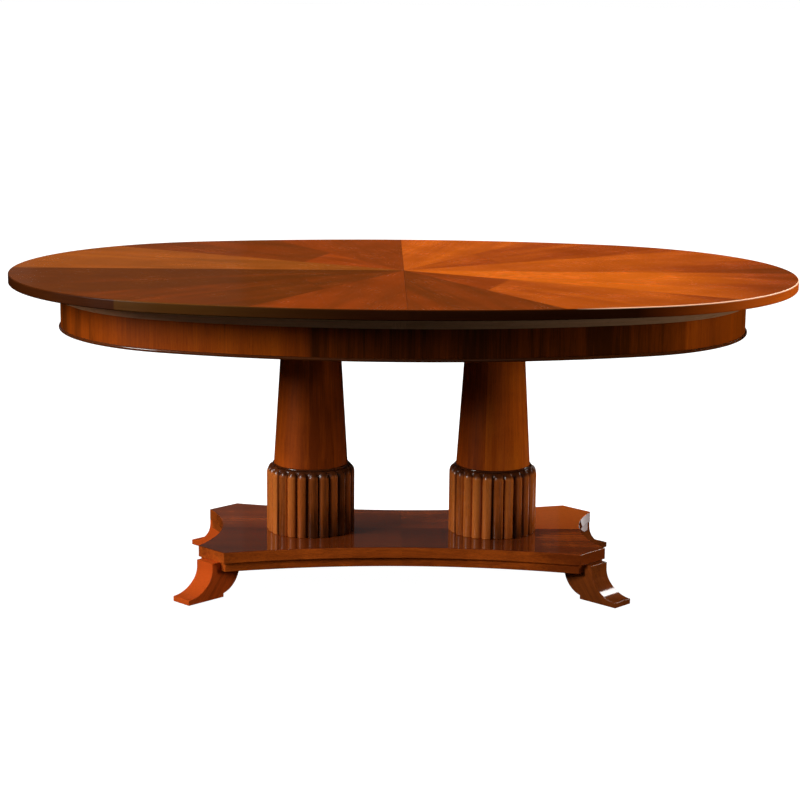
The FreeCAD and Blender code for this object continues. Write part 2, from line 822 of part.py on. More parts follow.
# The outline drawn in by shrink keeps its canted corners parallel to the full one's.
def board(label, shrink, low, thickness):
    x2 = boardX - shrink
    y1 = boardY - shrink
    x1 = boardX - size("cant_x") - shrink * (1 - outY) / outX
    y2 = boardY - size("cant_y") - shrink * (1 - outX) / outY
    sideR = (x1 * x1 + size("side_hollow") * size("side_hollow")) / (2 * size("side_hollow"))
    endR = (y2 * y2 + size("end_hollow") * size("end_hollow")) / (2 * size("end_hollow"))
    sideC = y1 - size("side_hollow") + sideR
    endC = x2 - size("end_hollow") + endR
    body = newBody(label)
    sketch = newSketch(body, "XY_Plane", low)
    frontRight = line(sketch, (x1, -y1), (x2, -y2))
    backRight = line(sketch, (x2, y2), (x1, y1))
    backLeft = line(sketch, (-x1, y1), (-x2, y2))
    frontLeft = line(sketch, (-x2, -y2), (-x1, -y1))
    for edge, first, second in ((frontRight, (x1, -y1), (x2, -y2)), (backRight, (x2, y2), (x1, y1)),
                                (backLeft, (-x1, y1), (-x2, y2)), (frontLeft, (-x2, -y2), (-x1, -y1))):
        pin(sketch, edge, 1, first[0], first[1])
        pin(sketch, edge, 2, second[0], second[1])
    front = arc(sketch, (0, -sideC), (x1, -y1), (-x1, -y1))
    back = arc(sketch, (0, sideC), (-x1, y1), (x1, y1))
    left = arc(sketch, (-endC, 0), (-x2, -y2), (-x2, y2))
    right = arc(sketch, (endC, 0), (x2, y2), (x2, -y2))
    join(sketch, front, 1, frontRight, 1)
    join(sketch, front, 2, frontLeft, 2)
    join(sketch, back, 1, backLeft, 1)
    join(sketch, back, 2, backRight, 2)
    join(sketch, left, 1, frontLeft, 1)
    join(sketch, left, 2, backLeft, 2)
    join(sketch, right, 1, backRight, 1)
    join(sketch, right, 2, frontRight, 2)
    pin(sketch, front, 3, None, -sideC)
    pin(sketch, back, 3, None, sideC)
    pin(sketch, left, 3, -endC, None)
    pin(sketch, right, 3, endC, None)
    circle(sketch, -columnX, 0, rodBore)
    circle(sketch, columnX, 0, rodBore)
    pad(body, sketch, thickness)
    return place(body, label)


upperLow = size("platform_top") - size("upper_board")
lowerLow = upperLow - size("lower_board")
board("platform_upper_board", asSize(0.0) * size("lower_inset"), upperLow, size("upper_board"))
board("platform_lower_board", size("lower_inset"), lowerLow, size("lower_board"))

members = []
screwSpots = ((-0.8, -0.35), (-0.8, 0.35), (0.0, -0.45), (0.0, 0.45), (0.8, -0.35), (0.8, 0.35))
for index, (ux, uy) in enumerate(screwSpots):
    members.append(screw("platform_screw_%d" % (index + 1), ux * boardX, uy * boardY, lowerLow,
                         size("lower_board") + size("screw_bite")))
group("platform_screws", members)

# Sabre feet: solid on the floor from heel to toe, notched round the lower board at each canted corner.
footAngle = Size(math.degrees(math.atan2(sizes["cant_x"], sizes["cant_y"])),
                 "atan2(sheet.cant_x; sheet.cant_y)")
cantMidX = boardX - size("cant_x") / 2
cantMidY = boardY - size("cant_y") / 2
floorLevel = size("glide_thickness")
sweepWide = size("foot_reach") - size("foot_ledge")
sweepDeep = size("sweep_height") - size("toe_height")
small = size("sweep_radius")
large = ((sweepWide - small) * (sweepWide - small) + sweepDeep * sweepDeep - small * small) / (
    2 * (sweepDeep - small))
runX = sweepWide - small
runZ = large - sweepDeep
runLength = root(runX * runX + runZ * runZ)
meetX = size("foot_reach") - runX - small * runX / runLength
meetZ = size("sweep_height") - small * runZ / runLength
backX = -root(size("inner_radius") * size("inner_radius")
              - (size("sweep_height") - lowerLow) * (size("sweep_height") - lowerLow))
heelX = -root(size("inner_radius") * size("inner_radius")
              - (size("sweep_height") - size("heel_height")) * (size("sweep_height") - size("heel_height")))
notch = -size("lower_inset")


def foot(label, signX, signY, turn):
    body = newBody(label)
    sketch = newSketch(body, "XZ_Plane", -size("foot_width") / 2)
    ledge = size("foot_ledge")
    reach = size("foot_reach")
    sweep = size("sweep_height")
    face = line(sketch, (ledge, upperLow), (ledge, sweep))
    first = arc(sketch, (reach - runX, sweep), (ledge, sweep), (meetX, meetZ))
    second = arc(sketch, (reach, sweep + runZ), (meetX, meetZ), (reach, size("toe_height")))
    toe = line(sketch, (reach, size("toe_height")), (reach, floorLevel))
    sole = line(sketch, (reach, floorLevel), (heelX, floorLevel))
    heel = line(sketch, (heelX, floorLevel), (heelX, size("heel_height")))
    inner = arc(sketch, (0, sweep), (backX, lowerLow), (heelX, size("heel_height")))
    seat = line(sketch, (backX, lowerLow), (notch, lowerLow))
    riser = line(sketch, (notch, lowerLow), (notch, upperLow))
    crown = line(sketch, (notch, upperLow), (ledge, upperLow))
    join(sketch, face, 2, first, 1)
    join(sketch, first, 2, second, 1)
    join(sketch, second, 2, toe, 1)
    join(sketch, toe, 2, sole, 1)
    join(sketch, sole, 2, heel, 1)
    join(sketch, heel, 2, inner, 2)
    join(sketch, inner, 1, seat, 1)
    join(sketch, seat, 2, riser, 1)
    join(sketch, riser, 2, crown, 1)
    join(sketch, crown, 2, face, 1)
    pin(sketch, face, 1, ledge, upperLow)
    pin(sketch, face, 2, ledge, sweep)
    pin(sketch, first, 3, reach - runX, sweep)
    pin(sketch, first, 2, meetX, None)
    pin(sketch, second, 3, reach, sweep + runZ)
    pin(sketch, toe, 1, reach, None)
    pin(sketch, sole, 1, reach, floorLevel)
    pin(sketch, heel, 1, heelX, floorLevel)
    pin(sketch, heel, 2, heelX, size("heel_height"))
    pin(sketch, inner, 3, 0, sweep)
    pin(sketch, inner, 1, None, lowerLow)
    pin(sketch, riser, 1, notch, lowerLow)
    pin(sketch, riser, 2, notch, upperLow)
    pad(body, sketch, size("foot_width"))
    return place(body, label, signX * cantMidX, signY * cantMidY, 0, turn=turn)


halfTurn = Size(180.0, "180 deg")
noTurn = Size(0.0, "0 deg")
foot("front_left_foot", -1, -1, footAngle + halfTurn)
foot("front_right_foot", 1, -1, noTurn - footAngle)
foot("back_left_foot", -1, 1, halfTurn - footAngle)
foot("back_right_foot", 1, 1, footAngle)

glides = []
pegs = []
glideOut = size("foot_reach") - size("glide_radius") * 1.5
pegOut = backX / 2 + notch / 2
footCorners = (("front_left", -1, -1), ("front_right", 1, -1), ("back_left", -1, 1), ("back_right", 1, 1))
for name, signX, signY in footCorners:
    for end, out in (("toe", glideOut), ("heel", asSize(0.0) * size("glide_radius"))):
        glides.append(stick("glide_%s_%s" % (name, end), size("glide_radius"), size("glide_thickness"),
                            signX * (cantMidX + outX * out), signY * (cantMidY + outY * out), 0))
    for end, way in (("a", -1), ("b", 1)):
        across = way * size("foot_dowel_spread") / 2
        pegs.append(stick("foot_dowel_%s_%s" % (name, end), size("foot_dowel_radius"),
                          2 * size("foot_dowel_depth"),
                          signX * (cantMidX + outX * pegOut - outY * across),
                          signY * (cantMidY + outY * pegOut + outX * across),
                          lowerLow - size("foot_dowel_depth")))
group("foot_glides", glides)
group("foot_dowels", pegs)

# Tie rods that draw bearer, column, drum and platform together, with washers and nuts at both ends.
rodLow = lowerLow - size("washer_thickness") - size("nut_thickness") - size("rod_end")
rodTop = railLow + size("washer_thickness") + size("nut_thickness") + size("rod_end")
washers = []
nuts = []
for side, sign in (("left", -1), ("right", 1)):
    rod = doc.addObject("Part::Cylinder", side + "_tie_rod")
    bind(rod, "Radius", size("rod_radius"))
    bind(rod, "Height", rodTop - rodLow)
    place(rod, side + "_tie_rod", sign * columnX, 0, rodLow)
    for end, washerZ, nutZ in (
        ("low", lowerLow - size("washer_thickness"),
         lowerLow - size("washer_thickness") - size("nut_thickness")),
        ("high", railLow, railLow + size("washer_thickness")),
    ):
        name = "%s_%s" % (side, end)
        disc = stick("disc_" + name, size("washer_radius"), size("washer_thickness"),
                     sign * columnX, 0, washerZ)
        hole = stick("hole_" + name, rodBore, size("washer_thickness"), sign * columnX, 0, washerZ)
        washer = doc.addObject("Part::Cut", "washer_" + name)
        washer.Base = disc
        washer.Tool = hole
        washers.append(washer)
        hexagon = doc.addObject("Part::Prism", "hexagon_" + name)
        hexagon.Polygon = 6
        bind(hexagon, "Circumradius", size("nut_flats") / math.sqrt(3.0))
        bind(hexagon, "Height", size("nut_thickness"))
        place(hexagon, "hexagon_" + name, sign * columnX, 0, nutZ, listed=False)
        thread = stick("thread_" + name, size("rod_radius"), size("nut_thickness"), sign * columnX, 0, nutZ)
        nut = doc.addObject("Part::Cut", "nut_" + name)
        nut.Base = hexagon
        nut.Tool = thread
        nuts.append(nut)
group("tie_rod_washers", washers)
group("tie_rod_nuts", nuts)

doc.recompute()

bad = []
for obj in doc.Objects:
    if "Invalid" in obj.State or "Error" in obj.State:
        bad.append("%s %s" % (obj.Label, obj.State))
for obj in nodes:
    if obj.Shape.isNull() or not obj.Shape.isValid() or not obj.Shape.Solids:
        bad.append("%s shape" % obj.Label)
if bad:
    raise RuntimeError("; ".join(bad))

os.makedirs("parts", exist_ok=True)
for obj in nodes:
    obj.Shape.exportStep("parts/%s.step" % obj.Label)
    box = obj.Shape.BoundBox
    print("%-26s solids %2d volume %10.0f  x %7.1f..%7.1f y %7.1f..%7.1f z %6.1f..%6.1f" % (
        obj.Label, len(obj.Shape.Solids), obj.Shape.Volume, box.XMin, box.XMax, box.YMin, box.YMax,
        box.ZMin, box.ZMax))
print("nodes", len(nodes))
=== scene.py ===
import json
import math

import bmesh
import bpy
from mathutils import Matrix, Vector


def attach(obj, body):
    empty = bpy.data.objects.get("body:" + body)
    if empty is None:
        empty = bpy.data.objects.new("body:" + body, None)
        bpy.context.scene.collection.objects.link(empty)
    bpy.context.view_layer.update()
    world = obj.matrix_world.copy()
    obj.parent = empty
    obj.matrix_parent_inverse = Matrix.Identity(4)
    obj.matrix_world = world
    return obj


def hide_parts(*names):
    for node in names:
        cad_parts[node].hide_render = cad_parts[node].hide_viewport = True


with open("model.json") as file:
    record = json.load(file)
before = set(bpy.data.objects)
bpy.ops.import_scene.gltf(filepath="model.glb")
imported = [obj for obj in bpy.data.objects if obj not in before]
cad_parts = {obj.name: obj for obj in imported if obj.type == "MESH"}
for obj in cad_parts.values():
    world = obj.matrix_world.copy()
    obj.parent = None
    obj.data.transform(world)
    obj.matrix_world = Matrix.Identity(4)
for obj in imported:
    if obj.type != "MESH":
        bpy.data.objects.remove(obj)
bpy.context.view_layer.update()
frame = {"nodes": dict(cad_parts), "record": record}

# Working helpers: selections, edit mode and the finishing of a piece.

tiny = 1e-5
sharpTurn = 0.5


def restSelection():
    if bpy.context.mode != "OBJECT":
        bpy.ops.object.mode_set(mode="OBJECT")
    bpy.ops.object.select_all(action="DESELECT")


def openEdit(piece):
    single(piece)
    bpy.ops.object.mode_set(mode="EDIT")
    bpy.ops.mesh.select_mode(type="VERT")
    bpy.ops.mesh.select_all(action="SELECT")


def closeEdit():
    bpy.ops.object.mode_set(mode="OBJECT")


def choose(piece, kind, test):
    bpy.ops.mesh.select_mode(type=kind)
    bpy.ops.mesh.select_all(action="DESELECT")
    shape = bmesh.from_edit_mesh(piece.data)
    for part in {"VERT": shape.verts, "EDGE": shape.edges, "FACE": shape.faces}[kind]:
        if test(part):
            part.select_set(True)
    shape.select_flush_mode()
    bmesh.update_edit_mesh(piece.data)


def bothEnds(test):
    return lambda edge: all(test(corner.co) for corner in edge.verts)


def sharp(test=lambda edge: True):
    return lambda edge: edge.is_manifold and edge.calc_face_angle(0) > sharpTurn and test(edge)


def level(edge):
    return abs(edge.verts[0].co.z - edge.verts[1].co.z) < tiny


def soften(offset, segments=3):
    bpy.ops.mesh.bevel(offset=offset, segments=segments, affect="EDGES")


def named(name):
    piece = bpy.context.object
    piece.name = name
    piece.data.name = name
    return piece


def single(piece):
    restSelection()
    piece.select_set(True)
    bpy.context.view_layer.objects.active = piece


def startVertex(name, place):
    restSelection()
    bpy.ops.mesh.primitive_plane_add(size=0.002, location=(0, 0, 0))
    piece = named(name)
    bpy.ops.object.mode_set(mode="EDIT")
    bpy.ops.mesh.select_mode(type="VERT")
    bpy.ops.mesh.select_all(action="SELECT")
    bpy.ops.mesh.merge(type="CENTER")
    bpy.ops.transform.translate(value=place)
    return piece


def runTo(start, *spots):
    last = Vector(start)
    for spot in spots:
        step = Vector(spot) - last
        bpy.ops.mesh.extrude_vertices_move(TRANSFORM_OT_translate={"value": step})
        last = Vector(spot)


def mergeDoubles():
    bpy.ops.mesh.select_all(action="SELECT")
    bpy.ops.mesh.remove_doubles(threshold=tiny)


def facesOut():
    bpy.ops.mesh.select_all(action="SELECT")
    bpy.ops.mesh.normals_make_consistent(inside=False)


def copyOf(piece, name):
    single(piece)
    bpy.ops.object.duplicate(linked=False)
    return named(name)


# Smooths a piece, keeps its broad faces flat and sets it on its body in place of its solid.
def settle(piece, body, slotName, *nodes, smooth=35):
    single(piece)
    bpy.ops.object.transform_apply(location=True, rotation=True, scale=True)
    bpy.ops.object.shade_smooth_by_angle(angle=math.radians(smooth))
    bpy.ops.object.modifier_add(type="WEIGHTED_NORMAL")
    piece.modifiers[-1].keep_sharp = True
    piece.modifiers[-1].weight = 100
    bpy.ops.object.modifier_apply(modifier=piece.modifiers[-1].name)
    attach(piece, body)
    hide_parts(*nodes)


# Four-centred oval: long arcs front and back, tight arcs at the ends.


def ovalArcs(spec):
    reach = spec["halfLength"] - spec["endRadius"]
    spread = spec["halfWidth"] - spec["endRadius"]
    longRadius = (reach ** 2 + spec["halfWidth"] ** 2 - spec["endRadius"] ** 2) / (2 * spread)
    drop = longRadius - spec["halfWidth"]
    return reach, longRadius, drop, math.atan2(drop, reach)


def sweepOval(spec):
    reach, longRadius, drop, turn = ovalArcs(spec)
    flat = math.pi / 2 - turn
    legs = [((0, drop, 0), flat, spec["sideSteps"]), ((reach, 0, 0), 2 * turn, spec["endSteps"]),
            ((0, -drop, 0), 2 * flat, 2 * spec["sideSteps"]), ((-reach, 0, 0), 2 * turn, spec["endSteps"]),
            ((0, drop, 0), flat, spec["sideSteps"])]
    for centre, angle, steps in legs:
        bpy.ops.mesh.spin(steps=steps, angle=-angle, center=centre, axis=(0, 0, 1))


# Lays a strip map along the rim of a half oval: u runs round the rim in metres, v is the height.
# The left half starts further along, so the two halves don't share one stretch of grain.
leftRimStart = 4.0


def mapRim(piece, spec):
    reach, longRadius, drop, turn = ovalArcs(spec)
    endRun = spec["endRadius"] * turn
    layer = piece.data.uv_layers.get("rim") or piece.data.uv_layers.new(name="rim")
    for loop in piece.data.loops:
        spot = piece.data.vertices[loop.vertex_index].co
        x, y = abs(spot.x), abs(spot.y)
        angle = math.atan2(y, x - reach) if x > reach else math.pi / 2
        if angle <= turn:
            run = spec["endRadius"] * angle
        else:
            run = endRun + longRadius * (math.atan2(y + drop, x) - turn)
        run = math.copysign(run, spot.y)
        layer.data[loop.index].uv = (run + (leftRimStart if spot.x < 0 else 0.0), spot.z)


def splitHalves(piece, names, gap):
    halves = []
    for name, side in zip(names, (-1, 1)):
        half = copyOf(piece, name)
        openEdit(half)
        bpy.ops.mesh.bisect(plane_co=(side * gap, 0, 0), plane_no=(side, 0, 0), use_fill=True,
                            clear_inner=True)
        mergeDoubles()
        facesOut()
        halves.append(half)
    restSelection()
    bpy.data.objects.remove(piece)
    return halves


# The top: two halves of an oval slab with a softened arris and a small bevel under the edge.

topSpec = {"halfLength": 0.950, "halfWidth": 0.6235, "endRadius": 0.569, "low": 0.738, "high": 0.762,
           "arris": 0.0030, "underBevel": 0.0020, "underSoft": 0.0006, "seam": 0.00003, "seamSoft": 0.0004,
           "sideSteps": 18, "endSteps": 64}


def makeTop():
    front = -topSpec["halfWidth"]
    rim = (0, front, topSpec["high"])
    piece = startVertex("tableTop", rim)
    runTo(rim, (0, front, topSpec["low"] + topSpec["underBevel"]),
          (0, front + topSpec["underBevel"], topSpec["low"]))
    bpy.ops.mesh.select_all(action="SELECT")
    sweepOval(topSpec)
    mergeDoubles()
    bpy.ops.mesh.select_all(action="SELECT")
    bpy.ops.mesh.fill_holes(sides=0)
    facesOut()
    choose(piece, "EDGE", bothEnds(lambda c: c.z > topSpec["high"] - tiny))
    soften(topSpec["arris"], 5)
    choose(piece, "EDGE", bothEnds(lambda c: abs(c.z - topSpec["low"] - topSpec["underBevel"]) < tiny))
    soften(topSpec["underSoft"], 2)
    halves = splitHalves(piece, ("leftTop", "rightTop"), topSpec["seam"])
    for half in halves:
        openEdit(half)
        choose(half, "EDGE", bothEnds(lambda c: abs(c.x) < topSpec["seamSoft"] and
                                      c.z > topSpec["high"] - tiny))
        soften(topSpec["seamSoft"], 2)
        closeEdit()
        mapRim(half, topSpec)
    return halves


leftTop, rightTop = makeTop()
print("top halves modelled")

# The apron under the top, with a splayed moulding at its head and a small bead round its foot.

apronSpec = {"halfLength": 0.829, "halfWidth": 0.4925, "endRadius": 0.420, "low": 0.625, "high": 0.738,
             "wall": 0.019, "insideFrom": -0.002, "soft": 0.0012, "seam": 0.00003, "sideSteps": 18,
             "endSteps": 60}
splaySpec = {"low": 0.699, "reach": 0.026, "bevel": 0.024, "soft": 0.0009}
beadSpec = {"high": 0.633, "proud": 0.0045, "rimFrom": 0.00405, "round": 0.0034}


def ovalMoulding(name, spec, corners):
    piece = startVertex(name, corners[0])
    runTo(corners[0], *corners[1:])
    ends = (Vector(corners[0]), Vector(corners[-1]))
    choose(piece, "VERT", lambda v: any((v.co - end).length < tiny for end in ends))
    bpy.ops.mesh.edge_face_add()
    bpy.ops.mesh.select_all(action="SELECT")
    sweepOval(spec)
    mergeDoubles()
    facesOut()
    return piece


def makeApron():
    front = -apronSpec["halfWidth"]
    inside = front + apronSpec["wall"]
    low, high = apronSpec["low"], apronSpec["high"]
    piece = ovalMoulding("apronRing", apronSpec,
                         [(0, front, high), (0, front, low), (0, inside, low), (0, inside, high)])
    choose(piece, "EDGE", sharp(bothEnds(lambda c: c.z < low + tiny)))
    soften(apronSpec["soft"])
    return splitHalves(piece, ("leftApron", "rightApron"), apronSpec["seam"])


def makeBead():
    front = -apronSpec["halfWidth"]
    nose = front - beadSpec["proud"]
    low, high = apronSpec["low"], beadSpec["high"]
    piece = ovalMoulding("beadRing", apronSpec,
                         [(0, front, high), (0, nose, high), (0, nose, low), (0, front, low)])
    choose(piece, "EDGE", sharp(bothEnds(lambda c: outsideOf(c, apronSpec) > beadSpec["rimFrom"])))
    soften(beadSpec["round"], 5)
    return splitHalves(piece, ("leftBead", "rightBead"), apronSpec["seam"])


def makeSplay():
    front = -apronSpec["halfWidth"]
    low, high = splaySpec["low"], apronSpec["high"]
    ledge, nose = front - splaySpec["reach"] + splaySpec["bevel"], front - splaySpec["reach"]
    piece = ovalMoulding("splayRing", apronSpec, [(0, front, high), (0, front, low), (0, ledge, low),
                                                  (0, nose, low + splaySpec["bevel"]), (0, nose, high)])
    choose(piece, "EDGE", sharp(bothEnds(lambda c: c.z < high - tiny and
                                         outsideOf(c, apronSpec) > splaySpec["soft"])))
    soften(splaySpec["soft"])
    return splitHalves(piece, ("leftSplay", "rightSplay"), apronSpec["seam"])


# How far a point lies outside the oval, across its wall.
def outsideOf(spot, spec):
    reach, longRadius, drop, turn = ovalArcs(spec)
    x, y = abs(spot.x), abs(spot.y)
    if x > reach and math.atan2(y, x - reach) <= turn:
        return math.hypot(x - reach, y) - spec["endRadius"]
    return math.hypot(x, y + drop) - longRadius


leftApron, rightApron = makeApron()
leftSplay, rightSplay = makeSplay()
leftBead, rightBead = makeBead()
for part in (leftApron, rightApron, leftSplay, rightSplay, leftBead, rightBead):
    mapRim(part, apronSpec)
print("apron, splay and bead modelled")

# Tapered columns on thin collars.

columnSpec = {"offset": 0.225, "low": 0.285, "high": 0.6625, "footRadius": 0.091, "headRadius": 0.0676,
              "bore": 0.048, "soft": 0.001, "rounds": 128}
collarSpec = {"low": 0.280, "high": 0.285, "footRadius": 0.0945, "headRadius": 0.0945, "bore": 0.0055,
              "soft": 0.0023, "rounds": 128}


# A tapered tube standing at one column, its outer rims softened.
def makeTube(name, spec, centreX, segments):
    low, high, rounds = spec["low"], spec["high"], spec["rounds"]
    middle = (0, 0, (low + high) / 2)
    restSelection()
    bpy.ops.mesh.primitive_cone_add(vertices=rounds, radius1=spec["footRadius"], radius2=spec["headRadius"],
                                    depth=high - low, end_fill_type="NOTHING", location=middle)
    piece = named(name)
    bpy.ops.object.transform_apply(location=True)
    bpy.ops.mesh.primitive_cylinder_add(vertices=rounds, radius=spec["bore"], depth=high - low,
                                        end_fill_type="NOTHING", location=middle)
    bpy.ops.object.transform_apply(location=True)
    piece.select_set(True)
    bpy.context.view_layer.objects.active = piece
    bpy.ops.object.join()
    openEdit(piece)
    for height in (low, high):
        choose(piece, "EDGE", bothEnds(lambda c: abs(c.z - height) < tiny))
        bpy.ops.mesh.bridge_edge_loops()
    mergeDoubles()
    facesOut()
    bpy.ops.transform.translate(value=(centreX, 0, 0))
    wide = spec["headRadius"] - spec["soft"]
    outer = bothEnds(lambda c: math.hypot(c.x - centreX, c.y) > wide)
    choose(piece, "EDGE", lambda e: level(e) and outer(e))
    soften(spec["soft"], segments)
    closeEdit()
    return piece


columnPlaces = (("left", -columnSpec["offset"]), ("right", columnSpec["offset"]))
columns = [makeTube(side + "Column", columnSpec, centreX, 3) for side, centreX in columnPlaces]
collars = [makeTube(side + "Collar", collarSpec, centreX, 5) for side, centreX in columnPlaces]
print("columns and collars modelled")

# Drums of upright reeds, each with a domed head under the collar.

drumSpec = {"low": 0.117, "height": 0.163, "reeds": 24, "perReed": 14, "reedRadius": 0.0142,
            "outer": 0.1084, "core": 0.0978, "coreDip": 0.0030, "dipFrom": 0.7, "head": 0.020,
            "turn": math.radians(5.0), "footSoft": 0.002, "footTuck": 0.0012, "footLevels": (0.35, 1.0),
            "headLevels": (0.0, 0.2, 0.38, 0.54, 0.68, 0.79, 0.87, 0.93, 0.97)}


def drumRadius(angle, rise):
    pitch = 2 * math.pi / drumSpec["reeds"]
    off = (angle - drumSpec["turn"] + pitch / 2) % pitch - pitch / 2
    over = max(0.0, (rise - drumSpec["height"] + drumSpec["head"]) / drumSpec["head"])
    reed = drumSpec["reedRadius"] * math.sqrt(max(0.0, 1 - over ** 2))
    middle = drumSpec["outer"] - drumSpec["reedRadius"]
    dip = max(0.0, (over - drumSpec["dipFrom"]) / (1 - drumSpec["dipFrom"]))
    core = drumSpec["core"] - drumSpec["coreDip"] * dip ** 2
    across = middle * math.sin(off)
    reach = core
    if abs(across) < reed:
        reach = max(core, middle * math.cos(off) + math.sqrt(reed ** 2 - across ** 2))
    under = max(0.0, 1 - rise / drumSpec["footSoft"])
    return reach - drumSpec["footTuck"] * under ** 2


def makeDrum(name, centreX):
    low, height = drumSpec["low"], drumSpec["height"]
    restSelection()
    bpy.ops.mesh.primitive_cylinder_add(vertices=drumSpec["reeds"] * drumSpec["perReed"], depth=height,
                                        radius=drumSpec["core"], location=(0, 0, low + height / 2))
    piece = named(name)
    bpy.ops.object.transform_apply(location=True)
    openEdit(piece)
    levels = [low + drumSpec["footSoft"] * part for part in drumSpec["footLevels"]]
    levels += [low + height - drumSpec["head"] * (1 - part) for part in drumSpec["headLevels"]]
    for cut in levels:
        bpy.ops.mesh.select_all(action="SELECT")
        bpy.ops.mesh.bisect(plane_co=(0, 0, cut), plane_no=(0, 0, 1))
    shape = bmesh.from_edit_mesh(piece.data)
    for corner in shape.verts:
        angle = math.atan2(corner.co.y, corner.co.x) + drumSpec["turn"]
        radius = drumRadius(angle, corner.co.z - low)
        corner.co = (centreX + radius * math.cos(angle), radius * math.sin(angle), corner.co.z)
    bmesh.update_edit_mesh(piece.data)
    facesOut()
    closeEdit()
    return piece


drums = [makeDrum(side + "Drum", centreX) for side, centreX in columnPlaces]
print("drums modelled")

# The platform: two boards with hollowed sides and ends and canted corners.

platformSpec = {"halfLength": 0.489, "halfWidth": 0.241, "cantX": 0.0655, "cantY": 0.0655,
                "sideHollow": 0.060, "endHollow": 0.045, "inset": 0.006, "top": 0.117, "middle": 0.090,
                "low": 0.068, "soft": 0.0014, "sideSteps": 40, "endSteps": 32}


def makeBoard(name, inset, low, high):
    cant = math.hypot(platformSpec["cantX"], platformSpec["cantY"])
    outX, outY = platformSpec["cantY"] / cant, platformSpec["cantX"] / cant
    x2 = platformSpec["halfLength"] - inset
    y1 = platformSpec["halfWidth"] - inset
    x1 = platformSpec["halfLength"] - platformSpec["cantX"] - inset * (1 - outY) / outX
    y2 = platformSpec["halfWidth"] - platformSpec["cantY"] - inset * (1 - outX) / outY
    side, end = platformSpec["sideHollow"], platformSpec["endHollow"]
    sideRadius = (x1 ** 2 + side ** 2) / (2 * side)
    endRadius = (y2 ** 2 + end ** 2) / (2 * end)
    sideOut = y1 - side + sideRadius
    endOut = x2 - end + endRadius
    sideTurn = 2 * math.asin(x1 / sideRadius)
    endTurn = 2 * math.asin(y2 / endRadius)
    piece = startVertex(name, (-x1, -y1, low))
    for way in (1, -1):
        bpy.ops.mesh.spin(steps=platformSpec["sideSteps"], angle=sideTurn, center=(0, -way * sideOut, low),
                          axis=(0, 0, 1))
        runTo((way * x1, -way * y1, low), (way * x2, -way * y2, low))
        bpy.ops.mesh.spin(steps=platformSpec["endSteps"], angle=endTurn, center=(way * endOut, 0, low),
                          axis=(0, 0, 1))
        runTo((way * x2, way * y2, low), (way * x1, way * y1, low))
    mergeDoubles()
    bpy.ops.mesh.edge_face_add()
    bpy.ops.mesh.extrude_region_move(TRANSFORM_OT_translate={"value": (0, 0, high - low)})
    facesOut()
    choose(piece, "EDGE", sharp())
    soften(platformSpec["soft"])
    closeEdit()
    return piece


upperBoard = makeBoard("upperBoard", 0.0, platformSpec["middle"], platformSpec["top"])
lowerBoard = makeBoard("lowerBoard", platformSpec["inset"], platformSpec["low"], platformSpec["middle"])
print("platform modelled")

# Sabre feet: one is drawn in profile, given its width and copied to the four canted corners.

footSpec = {"width": 0.0575, "reach": 0.094, "ledge": 0.0205, "toe": 0.015, "sole": 0.002, "crown": 0.090,
            "seat": 0.068, "notch": -0.006, "sweep": 0.075, "sweepRadius": 0.048, "innerRadius": 0.0656,
            "heel": 0.011, "soft": 0.0013, "sweepSteps": 14, "toeSteps": 10, "heelSteps": 16}


def makeFeet():
    half = -footSpec["width"] / 2
    small, sweep, reach = footSpec["sweepRadius"], footSpec["sweep"], footSpec["reach"]
    wide, deep = reach - footSpec["ledge"], sweep - footSpec["toe"]
    large = ((wide - small) ** 2 + deep ** 2 - small ** 2) / (2 * (deep - small))
    runX, runZ = wide - small, large - deep
    firstTurn = math.atan2(runZ, runX)
    inner = footSpec["innerRadius"]
    backX = -math.sqrt(inner ** 2 - (sweep - footSpec["seat"]) ** 2)
    heelX = -math.sqrt(inner ** 2 - (sweep - footSpec["heel"]) ** 2)
    heelTurn = math.atan2(footSpec["seat"] - sweep, backX) - math.atan2(footSpec["heel"] - sweep, heelX)
    start = (footSpec["notch"], half, footSpec["crown"])
    piece = startVertex("footPattern", start)
    ledge = (footSpec["ledge"], half, sweep)
    runTo(start, (footSpec["ledge"], half, footSpec["crown"]), ledge)
    bpy.ops.mesh.spin(steps=footSpec["sweepSteps"], angle=-firstTurn, center=(reach - runX, half, sweep),
                      axis=(0, -1, 0))
    bpy.ops.mesh.spin(steps=footSpec["toeSteps"], angle=firstTurn - math.pi / 2,
                      center=(reach, half, sweep + runZ), axis=(0, -1, 0))
    toe = (reach, half, footSpec["toe"])
    heel = (heelX, half, footSpec["heel"])
    runTo(toe, (reach, half, footSpec["sole"]), (heelX, half, footSpec["sole"]), heel)
    bpy.ops.mesh.spin(steps=footSpec["heelSteps"], angle=-heelTurn, center=(0, half, sweep), axis=(0, -1, 0))
    runTo((backX, half, footSpec["seat"]), (footSpec["notch"], half, footSpec["seat"]))
    mergeDoubles()
    bpy.ops.mesh.edge_face_add()
    bpy.ops.mesh.extrude_region_move(TRANSFORM_OT_translate={"value": (0, footSpec["width"], 0)})
    facesOut()
    choose(piece, "EDGE", sharp())
    soften(footSpec["soft"])
    closeEdit()
    lean = math.atan2(platformSpec["cantX"], platformSpec["cantY"])
    cornerX = platformSpec["halfLength"] - platformSpec["cantX"] / 2
    cornerY = platformSpec["halfWidth"] - platformSpec["cantY"] / 2
    feet = {}
    for name, wayX, wayY, turn in (("frontLeft", -1, -1, math.pi + lean), ("frontRight", 1, -1, -lean),
                                   ("backLeft", -1, 1, math.pi - lean), ("backRight", 1, 1, lean)):
        foot = copyOf(piece, name + "Foot")
        foot.location = (wayX * cornerX, wayY * cornerY, 0)
        foot.rotation_euler = (0, 0, turn)
        bpy.ops.object.transform_apply(location=True, rotation=True)
        feet[name] = foot
    restSelection()
    bpy.data.objects.remove(piece)
    return feet


feet = makeFeet()
print("feet modelled")

